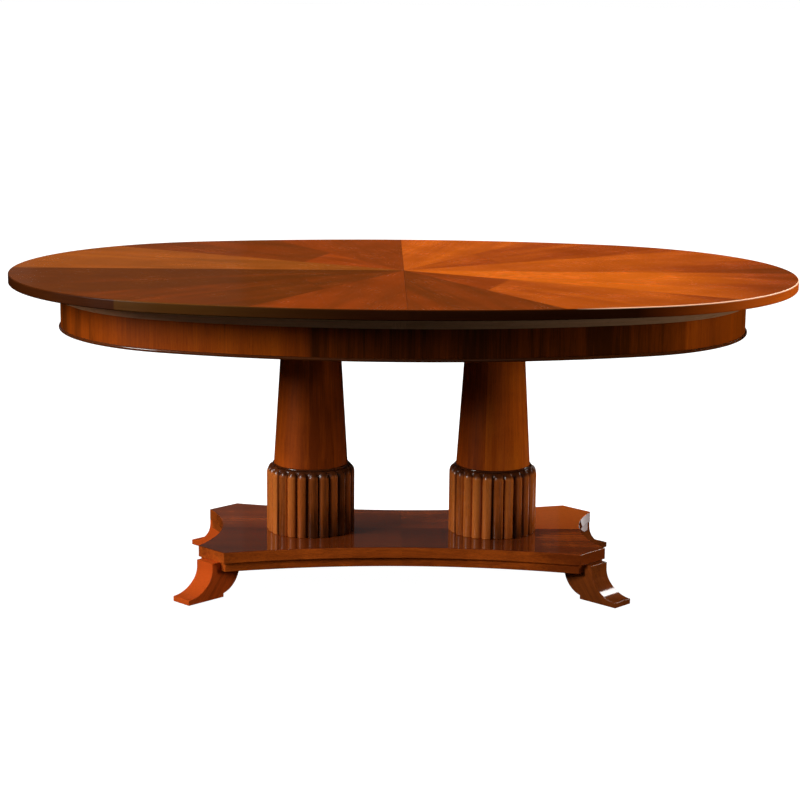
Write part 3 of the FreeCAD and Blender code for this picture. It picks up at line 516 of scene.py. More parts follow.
# Finishes. Each wood is the same sheet of grain, laid in its own direction and toned for its place.


class Finish:
    def __init__(self, name, sockets):
        self.material = bpy.data.materials.new(name)
        self.material.use_nodes = True
        self.tree = self.material.node_tree
        self.shader = self.tree.nodes["Principled BSDF"]
        for key, value in sockets.items():
            self.shader.inputs[key].default_value = value
        spots = self.tree.nodes.new("ShaderNodeTexCoord")
        self.spot = spots.outputs["Object"]
        parts = self.tree.nodes.new("ShaderNodeSeparateXYZ")
        self.tree.links.new(self.spot, parts.inputs[0])
        self.x, self.y, self.z = parts.outputs

    def feed(self, socket, value):
        if isinstance(value, bpy.types.NodeSocket):
            self.tree.links.new(value, socket)
        elif value is not None:
            socket.default_value = value

    def rim(self):
        node = self.tree.nodes.new("ShaderNodeUVMap")
        node.uv_map = "rim"
        parts = self.tree.nodes.new("ShaderNodeSeparateXYZ")
        self.tree.links.new(node.outputs[0], parts.inputs[0])
        return parts.outputs[0], parts.outputs[1]

    def calc(self, operation, first, second=None, third=None):
        node = self.tree.nodes.new("ShaderNodeMath")
        node.operation = operation
        for socket, value in zip(node.inputs, (first, second, third)):
            self.feed(socket, value)
        return node.outputs[0]

    def plus(self, first, second):
        return self.calc("ADD", first, second)

    def minus(self, first, second):
        return self.calc("SUBTRACT", first, second)

    def times(self, first, second):
        return self.calc("MULTIPLY", first, second)

    def vector(self, x, y, z):
        node = self.tree.nodes.new("ShaderNodeCombineXYZ")
        for socket, value in zip(node.inputs, (x, y, z)):
            self.feed(socket, value)
        return node.outputs[0]

    def cloud(self, vector, detail=2.0, rough=0.5, twist=0.0, scale=1.0):
        node = self.tree.nodes.new("ShaderNodeTexNoise")
        self.feed(node.inputs["Vector"], vector)
        node.inputs["Scale"].default_value = scale
        node.inputs["Detail"].default_value = detail
        node.inputs["Roughness"].default_value = rough
        node.inputs["Distortion"].default_value = twist
        return node.outputs["Fac"]

    def span(self, value, low, high, first=0.0, last=1.0):
        node = self.tree.nodes.new("ShaderNodeMapRange")
        node.clamp = True
        for socket, given in zip(node.inputs, (value, low, high, first, last)):
            self.feed(socket, given)
        return node.outputs[0]

    def shades(self, factor, stops, interpolation="LINEAR"):
        node = self.tree.nodes.new("ShaderNodeValToRGB")
        ramp = node.color_ramp
        ramp.interpolation = interpolation
        while len(ramp.elements) < len(stops):
            ramp.elements.new(1.0)
        for element, (place, tint) in zip(ramp.elements, stops):
            element.position = place
            element.color = (*tint, 1.0)
        self.feed(node.inputs[0], factor)
        return node.outputs[0]

    def blend(self, factor, first, second, kind="MIX"):
        node = self.tree.nodes.new("ShaderNodeMix")
        node.data_type = "RGBA"
        node.blend_type = kind
        self.feed(node.inputs[0], factor)
        for socket, value in ((node.inputs[6], first), (node.inputs[7], second)):
            self.feed(socket, (*value, 1.0) if isinstance(value, tuple) else value)
        return node.outputs[2]

    def raised(self, height, strength, distance):
        bump = self.tree.nodes.new("ShaderNodeBump")
        bump.inputs["Strength"].default_value = strength
        bump.inputs["Distance"].default_value = distance
        self.feed(bump.inputs["Height"], height)
        self.feed(self.shader.inputs["Normal"], bump.outputs[0])

    # The sheet of grain: broad figure, streaks, fine lines and open pores, all drawn out along the fibre.
    def grain(self, along, across, depth, figure=1.0, mottle=0.0, hair=0.5):
        def drawn(length, width):
            return self.vector(self.times(along, length), self.times(across, width),
                               self.times(depth, width))

        broad = self.cloud(drawn(1.5, 14.0), detail=2.0, twist=0.4)
        streak = self.cloud(drawn(4.0, 105.0), detail=3.0, rough=0.62)
        fine = self.cloud(drawn(16.0, 560.0), detail=2.0)
        pore = self.cloud(drawn(60.0, 1700.0), detail=1.0)
        tone = self.times(self.minus(broad, 0.5), 1.5 * figure)
        tone = self.plus(tone, self.times(self.minus(streak, 0.5), 0.85 * figure))
        tone = self.plus(tone, self.times(self.minus(fine, 0.5), hair))
        if mottle:
            ripple = self.cloud(drawn(26.0, 7.0), detail=1.5, twist=0.6)
            tone = self.plus(tone, self.times(self.minus(ripple, 0.5), mottle))
        pits = self.span(pore, 0.60, 0.70)
        lift = self.minus(self.times(fine, 0.6), self.times(pits, 0.5))
        return {"tone": tone, "fine": fine, "pore": pits, "lift": lift}

    # Lacquered wood: colour from the tone, darker pores, and a skin that is not quite even.
    def lacquer(self, tone, sheet, colours, gloss=(0.20, 0.34), poreDepth=0.45, relief=0.06):
        dark, middle, light = colours
        colour = self.shades(self.span(tone, -0.5, 0.5), [(0.0, dark), (0.5, middle), (1.0, light)])
        shadow = self.times(sheet["pore"], poreDepth)
        colour = self.blend(shadow, colour, tuple(part * 0.35 for part in dark))
        handling = self.cloud(self.spot, detail=3.0, scale=9.0)
        uneven = self.plus(handling, self.times(self.minus(sheet["fine"], 0.5), 0.4))
        sheen = self.span(uneven, 0.3, 0.75, *gloss)
        self.feed(self.shader.inputs["Base Color"], colour)
        self.feed(self.shader.inputs["Roughness"], sheen)
        self.raised(sheet["lift"], relief, 0.0006)
        return colour


lacquerSkin = {"Coat Weight": 0.35, "Coat Roughness": 0.12, "Coat IOR": 1.45, "Specular IOR Level": 0.42}
polishSkin = {"Coat Weight": 0.60, "Coat Roughness": 0.03, "Coat IOR": 1.45, "Specular IOR Level": 0.42}
reedSkin = {"Coat Weight": 0.16, "Coat Roughness": 0.16, "Coat IOR": 1.45, "Specular IOR Level": 0.28}
satinSkin = {"Coat Weight": 0.04, "Coat Roughness": 0.30, "Coat IOR": 1.45, "Specular IOR Level": 0.09}
jointSpan = (0.0002, 0.0009, 0.4, 0.0)
quarterNames = ("frontLeft", "backLeft", "frontRight", "backRight")


def threeTones(spec):
    return spec["dark"], spec["middle"], spec["light"]


# Sunburst of twelve wedges; the slanting pairs have a cross joint, so each quarter holds four leaves.
# Leaf tones run 0 dark to 1 light: first wedge, second outer, second inner, third.
burstSpec = {"wedge": math.pi / 6, "crossX": 0.947, "crossY": 0.323, "crossAt": 0.280, "line": 0.0005,
             "joint": (0.030, 0.010, 0.004), "golden": (1.04, 1.50, 1.45),
             "farRight": (0.58, 0.90, 0.0, -0.62), "farRightFade": (0.0, 0.25, 1.0, 0.25),
             "frontLeft": (0.00, 0.07, 0.12, 0.33), "backLeft": (0.43, 0.18, 0.48, 0.33),
             "frontRight": (1.00, 0.70, 0.40, 0.20), "backRight": (0.75, 0.58, 0.55, 0.72),
             "dark": (0.134, 0.031, 0.0045), "middle": (0.330, 0.052, 0.006),
             "light": (0.700, 0.135, 0.008)}


def burstFinish():
    f = Finish("sunburstVeneer", lacquerSkin)
    ax, ay = f.calc("ABSOLUTE", f.x), f.calc("ABSOLUTE", f.y)
    angle = f.calc("ARCTAN2", ay, ax)
    share = f.times(angle, 1 / burstSpec["wedge"])
    wedge = f.calc("MINIMUM", f.calc("FLOOR", share), 2.0)
    middle = f.times(f.plus(wedge, 0.5), burstSpec["wedge"])
    cosine, sine = f.calc("COSINE", middle), f.calc("SINE", middle)
    along = f.plus(f.times(ax, cosine), f.times(ay, sine))
    across = f.minus(f.times(ay, cosine), f.times(ax, sine))
    slant = f.calc("COMPARE", wedge, 1.0, 0.1)
    crossing = f.plus(f.times(ax, burstSpec["crossX"]), f.times(ay, burstSpec["crossY"]))
    crossing = f.minus(crossing, burstSpec["crossAt"])
    inner = f.times(slant, f.calc("LESS_THAN", crossing, 0.0))
    leaf = f.plus(f.plus(wedge, f.calc("GREATER_THAN", wedge, 1.5)), inner)
    right, back = f.calc("GREATER_THAN", f.x, 0.0), f.calc("GREATER_THAN", f.y, 0.0)
    quarter = f.plus(f.times(right, 8.0), f.times(back, 4.0))
    number = f.plus(leaf, quarter)
    tones = [tone for key in quarterNames for tone in burstSpec[key]]
    stops = [(index / len(tones), (tone, tone, tone)) for index, tone in enumerate(tones)]
    leafTone = f.shades(f.times(f.plus(number, 0.5), 1 / len(tones)), stops, "CONSTANT")
    shift = f.times(f.plus(leaf, f.times(quarter, 0.07)), 1.37)
    sheet = f.grain(f.plus(along, shift), f.plus(across, f.times(shift, 0.31)), f.z, figure=0.85,
                    mottle=0.12, hair=0.15)
    tone = f.plus(f.minus(leafTone, 0.5), f.times(sheet["tone"], 0.45))
    # the right end falls darker, most of all at the front
    end = f.times(f.span(f.x, *burstSpec["farRight"]), f.span(f.y, *burstSpec["farRightFade"]))
    tone = f.plus(tone, end)
    # thin dark lines where the leaves meet
    part = f.minus(share, f.calc("FLOOR", share))
    near = f.calc("MINIMUM", part, f.minus(1.0, part))
    radius = f.calc("SQRT", f.plus(f.times(ax, ax), f.times(ay, ay)))
    gap = f.times(radius, f.calc("SINE", f.times(near, burstSpec["wedge"])))
    seamGap = f.plus(f.calc("ABSOLUTE", crossing), f.minus(1.0, slant))
    gap = f.calc("MINIMUM", gap, seamGap)
    joint = f.span(gap, burstSpec["line"] * 0.4, burstSpec["line"] * 2.0, 0.55, 0.0)
    colour = f.lacquer(tone, sheet, threeTones(burstSpec), gloss=(0.16, 0.30), poreDepth=0.12, relief=0.01)
    # the first leaf at the back left is cut from a yellower sheet
    golden = f.calc("COMPARE", number, 4.0, 0.1)
    colour = f.blend(golden, colour, burstSpec["golden"], "MULTIPLY")
    f.feed(f.shader.inputs["Base Color"], f.blend(joint, colour, burstSpec["joint"]))
    return f.material


# Lip round the top: grain runs along the edge.
lipSpec = {"dark": (0.024, 0.005, 0.0008), "middle": (0.046, 0.010, 0.0014),
           "light": (0.072, 0.017, 0.0026), "paintedEndLight": (0.900, 0.150, 0.009), "paintedEndSpan": (0.50, 0.86),
           "warm": (0.110, 0.042, 0.006), "warmEnd": -0.640, "warmSpan": (-0.50, -0.08, 1.0, 0.0),
           "highlightTint": (0.900, 0.540, 0.340), "glintSpan": (0.36, 0.46), "glintRise": (0.7590, 0.7602)}


def lipFinish():
    f = Finish("edgeLip", satinSkin)
    run, height = f.rim()
    sheet = f.grain(run, height, 0.0, figure=0.7)
    colour = f.lacquer(sheet["tone"], sheet, threeTones(lipSpec), gloss=(0.30, 0.44))
    # a warmer leaf at the front left, painted light on the right end, and a painted highlight along its
    # arris
    leaf = f.times(f.calc("GREATER_THAN", f.x, lipSpec["warmEnd"]), f.span(f.x, *lipSpec["warmSpan"]))
    colour = f.blend(f.times(leaf, f.span(sheet["tone"], -1.2, 0.6)), colour, lipSpec["warm"])
    end = f.times(f.span(f.x, *lipSpec["paintedEndSpan"]), f.span(sheet["tone"], -1.6, 0.2))
    colour = f.blend(end, colour, lipSpec["paintedEndLight"])
    # painted highlight: a cream line along the arris at the right end
    arrisGlint = f.times(f.span(f.x, *lipSpec["glintSpan"]), f.span(f.z, *lipSpec["glintRise"]))
    f.feed(f.shader.inputs["Base Color"], f.blend(arrisGlint, colour, lipSpec["highlightTint"]))
    return f.material


# Upright veneer on the apron, in leaves that meet along the rim.
apronWood = {"leaf": 0.185, "joint": (0.050, 0.016, 0.005), "leftLeafAndLight": (-0.225, -0.205, 0.10, -0.42),
             "rightLeafAndLight": (0.53, 0.64, 0.0, 0.34), "endDim": (-0.76, -0.52, -0.38, 0.0),
             "dark": (0.075, 0.015, 0.001), "middle": (0.340, 0.056, 0.002), "light": (0.600, 0.118, 0.004)}


def apronFinish():
    f = Finish("uprightVeneer", satinSkin)
    run, height = f.rim()
    leaf = f.times(run, 1 / apronWood["leaf"])
    number = f.calc("FLOOR", leaf)
    place = f.minus(leaf, number)
    even = f.calc("MODULO", f.plus(number, 40.0), 2.0)
    folded = f.plus(f.times(place, f.minus(1.0, even)), f.times(f.minus(1.0, place), even))
    across = f.plus(f.times(folded, apronWood["leaf"]), f.times(number, 0.013))
    sheet = f.grain(f.plus(height, f.times(number, 0.21)), across, f.times(number, 0.004), figure=0.75)
    edge = f.times(f.calc("MINIMUM", place, f.minus(1.0, place)), apronWood["leaf"])
    joint = f.span(edge, *jointSpan)
    # The side leaves are lighter than the centre: partly their own tone, partly painted light and shade from
    # the side lamps. The far left end is darker.
    tone = f.plus(f.span(f.x, *apronWood["leftLeafAndLight"]), f.span(f.x, *apronWood["rightLeafAndLight"]))
    tone = f.plus(f.plus(f.times(sheet["tone"], 0.7), tone), f.span(f.x, *apronWood["endDim"]))
    colour = f.lacquer(tone, sheet, threeTones(apronWood), gloss=(0.36, 0.50))
    f.feed(f.shader.inputs["Base Color"], f.blend(joint, colour, apronWood["joint"]))
    return f.material


# Turned and moulded trim: splay, bead and collars.
# The splay's pale greyish tints are partly its own colour, partly a painted sheen standing for the floor's
# reflection.
trimSpec = {"splay": ((0.260, 0.130, 0.060), (0.500, 0.262, 0.130), (0.700, 0.390, 0.210)),
            "bead": ((0.050, 0.011, 0.004), (0.110, 0.026, 0.006), (0.190, 0.050, 0.010)),
            "collar": ((0.035, 0.009, 0.003), (0.080, 0.019, 0.005), (0.150, 0.040, 0.009))}


def trimFinish(name, colours, skin, gloss):
    f = Finish(name, skin)
    run, height = f.rim()
    sheet = f.grain(run, height, f.z, figure=0.6)
    f.lacquer(sheet["tone"], sheet, colours, gloss=gloss)
    return f.material


def collarFinish():
    f = Finish("collarTurning", lacquerSkin)
    side, _, angle = aboutColumn(f)
    sheet = f.grain(f.times(angle, 0.095), f.z, f.times(side, 0.3), figure=0.6)
    f.lacquer(sheet["tone"], sheet, trimSpec["collar"], gloss=(0.10, 0.20))
    return f.material


# Veneer wrapped round the columns: two leaves that meet at the front and back of each.
columnWood = {"leftJoint": -0.03, "rightJoint": -0.28, "leftLeafTonesAndLight": (-0.06, -0.34),
              "rightLeafTonesAndLight": (-0.18, 0.16), "dark": (0.200, 0.030, 0.002), "middle": (0.460, 0.076, 0.004),
              "light": (0.690, 0.142, 0.008)}


def aboutColumn(f):
    side = f.calc("SIGN", f.x)
    local = f.minus(f.x, f.times(side, columnSpec["offset"]))
    return side, local, f.calc("ARCTAN2", local, f.times(f.y, -1.0))


def columnFinish():
    f = Finish("columnVeneer", satinSkin)
    side, _, angle = aboutColumn(f)
    right = f.calc("GREATER_THAN", side, 0.0)
    leftJoint, rightJoint = columnWood["leftJoint"], columnWood["rightJoint"]
    middle = f.plus(f.times(right, rightJoint - leftJoint), leftJoint)
    beyond = f.calc("GREATER_THAN", angle, middle)
    # The leaf on each column's lamp side is lighter: partly the leaves' own tone, partly painted light and
    # shade.
    leftTone = f.span(beyond, 0.0, 1.0, *columnWood["leftLeafTonesAndLight"])
    rightTone = f.span(beyond, 0.0, 1.0, *columnWood["rightLeafTonesAndLight"])
    leafTone = f.plus(f.times(right, f.minus(rightTone, leftTone)), leftTone)
    across = f.plus(f.times(f.calc("ABSOLUTE", f.minus(angle, middle)), 0.085), f.times(right, 0.61))
    sheet = f.grain(f.plus(f.z, f.times(beyond, 0.02)), across, f.times(beyond, 0.003), figure=0.8)
    blotch = f.cloud(f.spot, detail=2.0, scale=11.0)
    tone = f.plus(f.plus(sheet["tone"], f.times(f.minus(blotch, 0.5), 0.5)), leafTone)
    f.lacquer(tone, sheet, threeTones(columnWood), gloss=(0.40, 0.52))
    return f.material


# Solid reeded drums: upright grain, each reed its own shade.
drumWood = {"leftDrum": (-0.9, 1.1, 0.30, -0.32), "rightDrum": (-0.9, 1.1, 0.28, 0.10),
            "head": (0.2655, 0.2715, 0.0, 0.85), "groove": (0.0985, 0.1060, 0.70, 0.0),
            "footDim": (0.125, 0.205, 0.40, 0.0), "footFade": (-0.5, 0.5, 0.25, 1.0),
            "dark": (0.078, 0.018, 0.003), "middle": (0.450, 0.102, 0.015), "light": (0.690, 0.185, 0.030)}


def drumFinish():
    f = Finish("reededWood", reedSkin)
    side, local, angle = aboutColumn(f)
    turned = f.plus(angle, math.pi + drumSpec["turn"])
    number = f.calc("FLOOR", f.times(turned, drumSpec["reeds"] / (2 * math.pi)))
    own = f.cloud(f.vector(f.times(number, 7.31), f.times(side, 3.7), 0.0), detail=0.0)
    sheet = f.grain(f.plus(f.z, f.times(number, 0.4)), local, f.y, figure=0.7)
    # the grooves are darker: painted shade in the hollows
    radius = f.calc("SQRT", f.plus(f.times(local, local), f.times(f.y, f.y)))
    deep = f.span(radius, *drumWood["groove"])
    tone = f.minus(f.plus(f.times(sheet["tone"], 0.9), f.times(f.minus(own, 0.5), 1.5)), deep)
    # Each drum is lighter on the side facing its lamp: painted light and shade.
    leftShading = f.span(angle, *drumWood["leftDrum"])
    rightShading = f.span(angle, *drumWood["rightDrum"])
    right = f.calc("GREATER_THAN", side, 0.0)
    tone = f.plus(tone, f.plus(leftShading, f.times(right, f.minus(rightShading, leftShading))))
    # darker towards the foot on the side turned from the light
    tone = f.minus(tone, f.times(f.span(f.z, *drumWood["footDim"]), f.span(angle, *drumWood["footFade"])))
    colour = f.lacquer(tone, sheet, threeTones(drumWood), gloss=(0.22, 0.36))
    # the rounded heads darken into the collar's colour
    head = f.span(f.z, *drumWood["head"])
    f.feed(f.shader.inputs["Base Color"], f.blend(head, colour, trimSpec["collar"][1]))
    return f.material


# Platform veneer laid in four matched quarters; its edges and the lower board run with the length.
platformWood = {"frontLeft": -0.26, "backLeft": -0.02, "frontRight": -0.36, "backRight": 0.04,
                "farRight": (0.26, 0.32, 0.0, 1.00), "paintedLightNearRight": (0.28, 0.35, 0.0, 0.42),
                "faceRise": (0.1155, 0.1165), "edgeTone": 0.14, "rightEdge": (0.30, 0.42, 0.0, -0.26),
                "joint": (0.040, 0.012, 0.004), "dark": (0.120, 0.021, 0.004),
                "middle": (0.300, 0.052, 0.007), "light": (0.990, 0.187, 0.018)}


def platformFinish():
    f = Finish("platformVeneer", polishSkin)
    right, back = f.calc("GREATER_THAN", f.x, 0.0), f.calc("GREATER_THAN", f.y, 0.0)
    quarter = f.plus(f.times(right, 2.0), back)
    marks = [platformWood[key] + 0.5 for key in quarterNames]
    stops = [(index / 4, (mark, mark, mark)) for index, mark in enumerate(marks)]
    leafTone = f.minus(f.shades(f.times(f.plus(quarter, 0.5), 0.25), stops, "CONSTANT"), 0.5)
    upper = f.span(f.z, *platformWood["faceRise"])
    # Painted light at the right end, stronger at the back.
    leafTone = f.plus(leafTone, f.times(f.span(f.x, *platformWood["farRight"]), back))
    leafTone = f.plus(leafTone, f.times(f.span(f.x, *platformWood["paintedLightNearRight"]), f.minus(1.0, back)))
    leafTone = f.plus(f.times(leafTone, upper), f.span(upper, 0.0, 1.0, platformWood["edgeTone"], 0.0))
    edgeDim = f.times(f.span(f.x, *platformWood["rightEdge"]), f.minus(1.0, upper))
    leafTone = f.plus(leafTone, edgeDim)
    ax, ay = f.calc("ABSOLUTE", f.x), f.calc("ABSOLUTE", f.y)
    sheet = f.grain(f.plus(ax, f.times(quarter, 0.02)), ay, f.z, figure=0.6, mottle=0.2)
    tone = f.plus(f.times(sheet["tone"], 0.7), leafTone)
    colour = f.lacquer(tone, sheet, threeTones(platformWood), gloss=(0.03, 0.07), relief=0.02)
    gap = f.calc("MINIMUM", ax, ay)
    joint = f.times(f.span(gap, *jointSpan), upper)
    f.feed(f.shader.inputs["Base Color"], f.blend(joint, colour, platformWood["joint"]))
    return f.material


# Feet: solid timber with the grain down the sweep.
footWood = {"diagonal": 0.707, "outShare": 0.62, "downShare": 0.78, "sides": (-0.1, 0.1, 0.58, -0.22),
            "golden": (1.0, 1.55, 1.8), "goldenSpan": (-0.1, 0.1),
            "dark": (0.140, 0.021, 0.004), "middle": (0.340, 0.046, 0.006), "light": (0.780, 0.110, 0.014)}


def footFinish():
    f = Finish("footTimber", lacquerSkin)
    ax, ay = f.calc("ABSOLUTE", f.x), f.calc("ABSOLUTE", f.y)
    diagonal, outShare, downShare = footWood["diagonal"], footWood["outShare"], footWood["downShare"]
    out = f.plus(f.times(ax, diagonal), f.times(ay, diagonal))
    across = f.minus(f.times(ax, diagonal), f.times(ay, diagonal))
    slope = f.minus(f.times(out, outShare), f.times(f.z, downShare))
    lay = f.plus(f.times(out, downShare), f.times(f.z, outShare))
    corner = f.plus(f.times(f.calc("GREATER_THAN", f.x, 0.0), 2.3), f.calc("GREATER_THAN", f.y, 0.0))
    sheet = f.grain(f.plus(slope, corner), across, lay, figure=0.8)
    tone = f.plus(sheet["tone"], f.span(f.x, *footWood["sides"]))
    colour = f.lacquer(tone, sheet, threeTones(footWood), gloss=(0.06, 0.13))
    colour = f.blend(f.span(f.x, *footWood["goldenSpan"]), colour, footWood["golden"], "MULTIPLY")
    f.feed(f.shader.inputs["Base Color"], colour)
    return f.material


# Plain hardwood of the rails and runners, waxed and a little rubbed.
railWood = {"dark": (0.200, 0.105, 0.045), "middle": (0.380, 0.220, 0.105), "light": (0.520, 0.330, 0.170)}


def railFinish():
    f = Finish("railHardwood", {"Specular IOR Level": 0.4})
    sheet = f.grain(f.x, f.y, f.z, figure=0.8)
    f.lacquer(sheet["tone"], sheet, threeTones(railWood), gloss=(0.42, 0.60), relief=0.12)
    return f.material


def groundFinish():
    f = Finish("undersideBoard", {"Specular IOR Level": 0.35})
    sheet = f.grain(f.x, f.y, f.z, figure=0.7)
    tints = [tuple(part * 0.62 for part in tint) for tint in threeTones(railWood)]
    f.lacquer(sheet["tone"], sheet, tints, gloss=(0.5, 0.66), relief=0.12)
    return f.material


# Metals, gear plastic and felt.


def metalFinish(name, tint, gloss):
    f = Finish(name, {"Metallic": 1.0})
    smear = f.cloud(f.spot, detail=4.0, scale=60.0)
    brushed = f.cloud(f.vector(f.times(f.x, 900.0), f.times(f.y, 900.0), f.times(f.z, 60.0)), detail=2.0)
    worn = tuple(part * 0.55 for part in tint)
    f.feed(f.shader.inputs["Base Color"], f.shades(smear, [(0.3, worn), (0.62, tint)]))
    uneven = f.plus(f.times(smear, 0.6), f.times(brushed, 0.4))
    f.feed(f.shader.inputs["Roughness"], f.span(uneven, 0.3, 0.7, *gloss))
    f.raised(brushed, 0.08, 0.0002)
    return f.material


def softFinish(name, dark, light, scale, gloss, relief):
    f = Finish(name, {"Specular IOR Level": 0.3})
    fleck = f.cloud(f.spot, detail=4.0, scale=scale)
    f.feed(f.shader.inputs["Base Color"], f.shades(fleck, [(0.32, dark), (0.68, light)]))
    f.feed(f.shader.inputs["Roughness"], f.span(fleck, 0.3, 0.7, *gloss))
    f.raised(fleck, relief, 0.0004)
    return f.material


sunburst, edgeLip, upright = burstFinish(), lipFinish(), apronFinish()
splayTrim = trimFinish("splayTrim", trimSpec["splay"], satinSkin, (0.24, 0.36))
beadTrim = trimFinish("beadTrim", trimSpec["bead"], lacquerSkin, (0.14, 0.26))
collarTurning = collarFinish()
columnSkin, drumSkin, platformSkin, footSkin = columnFinish(), drumFinish(), platformFinish(), footFinish()
railSkin, groundSkin = railFinish(), groundFinish()
zincSteel = metalFinish("zincSteel", (0.62, 0.63, 0.65), (0.28, 0.48))
agedBrass = metalFinish("agedBrass", (0.72, 0.52, 0.22), (0.24, 0.42))
gearPlastic = softFinish("gearPlastic", (0.62, 0.60, 0.53), (0.74, 0.72, 0.65), 220.0, (0.36, 0.52), 0.10)
padFelt = softFinish("padFelt", (0.018, 0.016, 0.014), (0.050, 0.044, 0.038), 900.0, (0.85, 1.0), 0.5)
print("finishes mixed")

# Dress the pieces: finishes first, then each one rides on its body in place of its solid.

flatFace = 0.9


def dress(piece, *finishes):
    piece.data.materials.clear()
    for finish in finishes:
        piece.data.materials.append(finish)


def dressFaces(piece, number, test):
    openEdit(piece)
    choose(piece, "FACE", test)
    piece.active_material_index = number
    bpy.ops.object.material_slot_assign()
    closeEdit()


for side, half, apron, splay, bead in (("left", leftTop, leftApron, leftSplay, leftBead),
                                       ("right", rightTop, rightApron, rightSplay, rightBead)):
    dress(half, sunburst, edgeLip, groundSkin)
    dressFaces(half, 1, lambda f: f.normal.z < flatFace)
    dressFaces(half, 2, lambda f: f.normal.z < -flatFace)
    settle(half, side + "_half", "top_veneer", side + "_top_half")
    dress(apron, upright, groundSkin)
    dressFaces(apron, 1, lambda f: outsideOf(f.calc_center_median(), apronSpec) < apronSpec["insideFrom"])
    settle(apron, side + "_half", "apron_veneer", side + "_apron")
    dress(splay, splayTrim)
    settle(splay, side + "_half", "bead", side + "_apron_splay")
    dress(bead, beadTrim)
    settle(bead, side + "_half", "bead", side + "_apron_bead")
for side, column, collar, drum in zip(("left", "right"), columns, collars, drums):
    dress(column, columnSkin)
    settle(column, "base", "column_veneer", side + "_column")
    dress(collar, collarTurning)
    settle(collar, "base", "collar", side + "_collar")
    dress(drum, drumSkin)
    settle(drum, "base", "reeded_drum", side + "_drum", smooth=40)
for board, node in ((upperBoard, "platform_upper_board"), (lowerBoard, "platform_lower_board")):
    dress(board, platformSkin)
    settle(board, "base", "platform_veneer", node)
for name, node in (("frontLeft", "front_left_foot"), ("frontRight", "front_right_foot"),
                   ("backLeft", "back_left_foot"), ("backRight", "back_right_foot")):
    dress(feet[name], footSkin)
    settle(feet[name], "base", "foot", node)
shownFinish = {"rail_wood": railSkin, "gear_nylon": gearPlastic, "steel": zincSteel, "brass": agedBrass,
               "felt": padFelt}
slotOf = {entry["node"]: entry["material_slot"] for entry in frame["record"]["subparts"]}
for name, node in frame["nodes"].items():
    if not node.hide_render:
        dress(node, shownFinish.get(slotOf.get(name), railSkin))
print("pieces dressed")

# Pale floor and soft studio light: a broad light from above, soft boxes left and right and dim fills in
# front and behind. The cards are dim panes: some show as reflections in the polish, some lift the splay.
# The rim box shows only as the highlight on the front right foot.

studio = {"floor": 150.0, "floorSides": 96, "floorLevel": -0.0005, "floorTint": 0.20, "floorGlow": 1.0,
          "aboveStrength": 4.5, "aboveSpread": math.radians(30),
          "aboveLean": (math.radians(-12), math.radians(3), 0),
          "boxes": (("leftBox", (-2.71, -1.45, 1.65), (-0.20, 0.0, 0.30), (1.0, 1.0), 72.0),
                    ("rightBox", (3.28, -0.54, 1.05), (0.20, 0.0, 0.35), (1.0, 1.0), 38.0),
                    ("frontFill", (0.0, -6.0, 2.2), (0.0, 0.0, 0.4), (6.0, 3.0), 10.0),
                    ("backFill", (0.2, 1.6, 1.75), (0.1, 0.2, 0.6), (3.2, 0.6), 30.0),
                    ("backCard", (-3.3, 4.8, 1.3), (-3.3, 0.0, 0.9), (1.6, 1.4), 0.28),
                    ("backCard", (-2.9, 4.82, 1.3), (-2.9, 0.0, 0.9), (2.4, 1.4), 0.22),
                    ("backCard", (-2.4, 4.84, 1.3), (-2.4, 0.0, 0.9), (3.4, 1.4), 0.18),
                    ("lowCard", (-0.47, 2.2, 0.70), (-0.47, 0.0, 0.2), (1.86, 0.34), 0.040),
                    ("lowCard", (-0.40, 2.22, 0.70), (-0.40, 0.0, 0.2), (2.00, 0.34), 0.030),
                    ("lowCard", (-0.32, 2.24, 0.70), (-0.32, 0.0, 0.2), (2.16, 0.34), 0.018),
                    ("rimBox", (2.26, 1.58, 2.25), (0.56, -0.35, 0.03), (0.8, 1.3), 38.0),
                    ("splayCard", (0.86, -0.78, 0.012), (0.66, -0.40, 0.7), (0.50, 0.42), 0.85),
                    ("splayCard", (-0.84, -0.78, 0.012), (-0.62, -0.40, 0.7), (0.62, 0.42), 0.27),
                    ("hollowCard", (0.80, 0.50, 0.012), (0.80, 0.50, 0.7), (0.36, 0.40), 0.42)),
          "unseen": ("backFill", "rightBox", "splayCard"), "reflectedOnly": ("rimBox", "hollowCard")}


def aim(lamp, place, target):
    lamp.location = place
    lamp.rotation_euler = (Vector(target) - Vector(place)).to_track_quat("-Z", "Y").to_euler()
    bpy.context.scene.collection.objects.link(lamp)


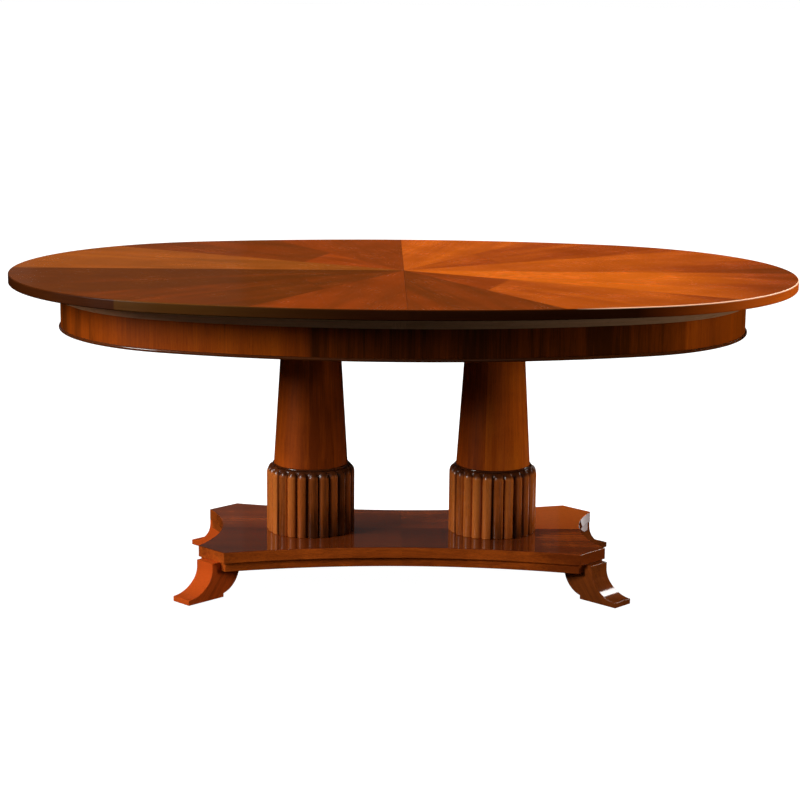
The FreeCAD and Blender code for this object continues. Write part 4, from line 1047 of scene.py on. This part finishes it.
def makeStudio():
    restSelection()
    bpy.ops.mesh.primitive_circle_add(vertices=studio["floorSides"], radius=studio["floor"],
                                      fill_type="NGON", location=(0, 0, studio["floorLevel"]))
    floor = bpy.context.object
    floor.name = "studioFloor"
    tint = studio["floorTint"]
    f = Finish("paleFloor", {"Roughness": 0.8, "Specular IOR Level": 0.0, "Emission Color": (1, 1, 1, 1),
                             "Emission Strength": studio["floorGlow"],
                             "Base Color": (tint, tint, tint, 1.0)})
    dress(floor, f.material)
    floor.visible_diffuse = False
    floor.visible_glossy = False
    sun = bpy.data.lights.new("aboveLight", "SUN")
    sun.energy = studio["aboveStrength"]
    sun.angle = studio["aboveSpread"]
    lamp = bpy.data.objects.new("aboveLight", sun)
    lamp.rotation_euler = studio["aboveLean"]
    lamp.visible_glossy = False
    bpy.context.scene.collection.objects.link(lamp)
    for name, place, target, size, power in studio["boxes"]:
        data = bpy.data.lights.new(name, "AREA")
        data.shape = "RECTANGLE"
        data.size, data.size_y = size
        data.energy = power
        lamp = bpy.data.objects.new(name, data)
        lamp.visible_glossy = name not in studio["unseen"]
        lamp.visible_diffuse = name not in studio["reflectedOnly"]
        lamp.visible_camera = False
        aim(lamp, place, target)
    world = bpy.data.worlds.new("studioWorld")
    world.use_nodes = True
    world.node_tree.nodes["Background"].inputs[0].default_value = (1, 1, 1, 1)
    world.cycles_visibility.diffuse = False
    world.cycles_visibility.glossy = False
    bpy.context.scene.world = world
    bpy.context.scene.view_settings.view_transform = "Standard"


makeStudio()

# Camera at the photograph's place: a long lens from a little above the top.
cameraSpec = {"place": (-0.0752, -4.9644, 1.4370), "look": (0.013628, 0.980387, -0.196611), "roll": 0.0099,
              "lens": 92.792, "sensor": 36.0, "clipEnd": 400.0}


def makeCamera():
    data = bpy.data.cameras.new("photoCamera")
    data.lens = cameraSpec["lens"]
    data.sensor_width = cameraSpec["sensor"]
    data.clip_end = cameraSpec["clipEnd"]
    camera = bpy.data.objects.new("photoCamera", data)
    bpy.context.scene.collection.objects.link(camera)
    facing = Vector(cameraSpec["look"]).to_track_quat("-Z", "Y").to_matrix()
    facing = facing @ Matrix.Rotation(cameraSpec["roll"], 3, "Z")
    camera.matrix_world = Matrix.Translation(cameraSpec["place"]) @ facing.to_4x4()
    bpy.context.scene.camera = camera


makeCamera()
print("studio and camera set")
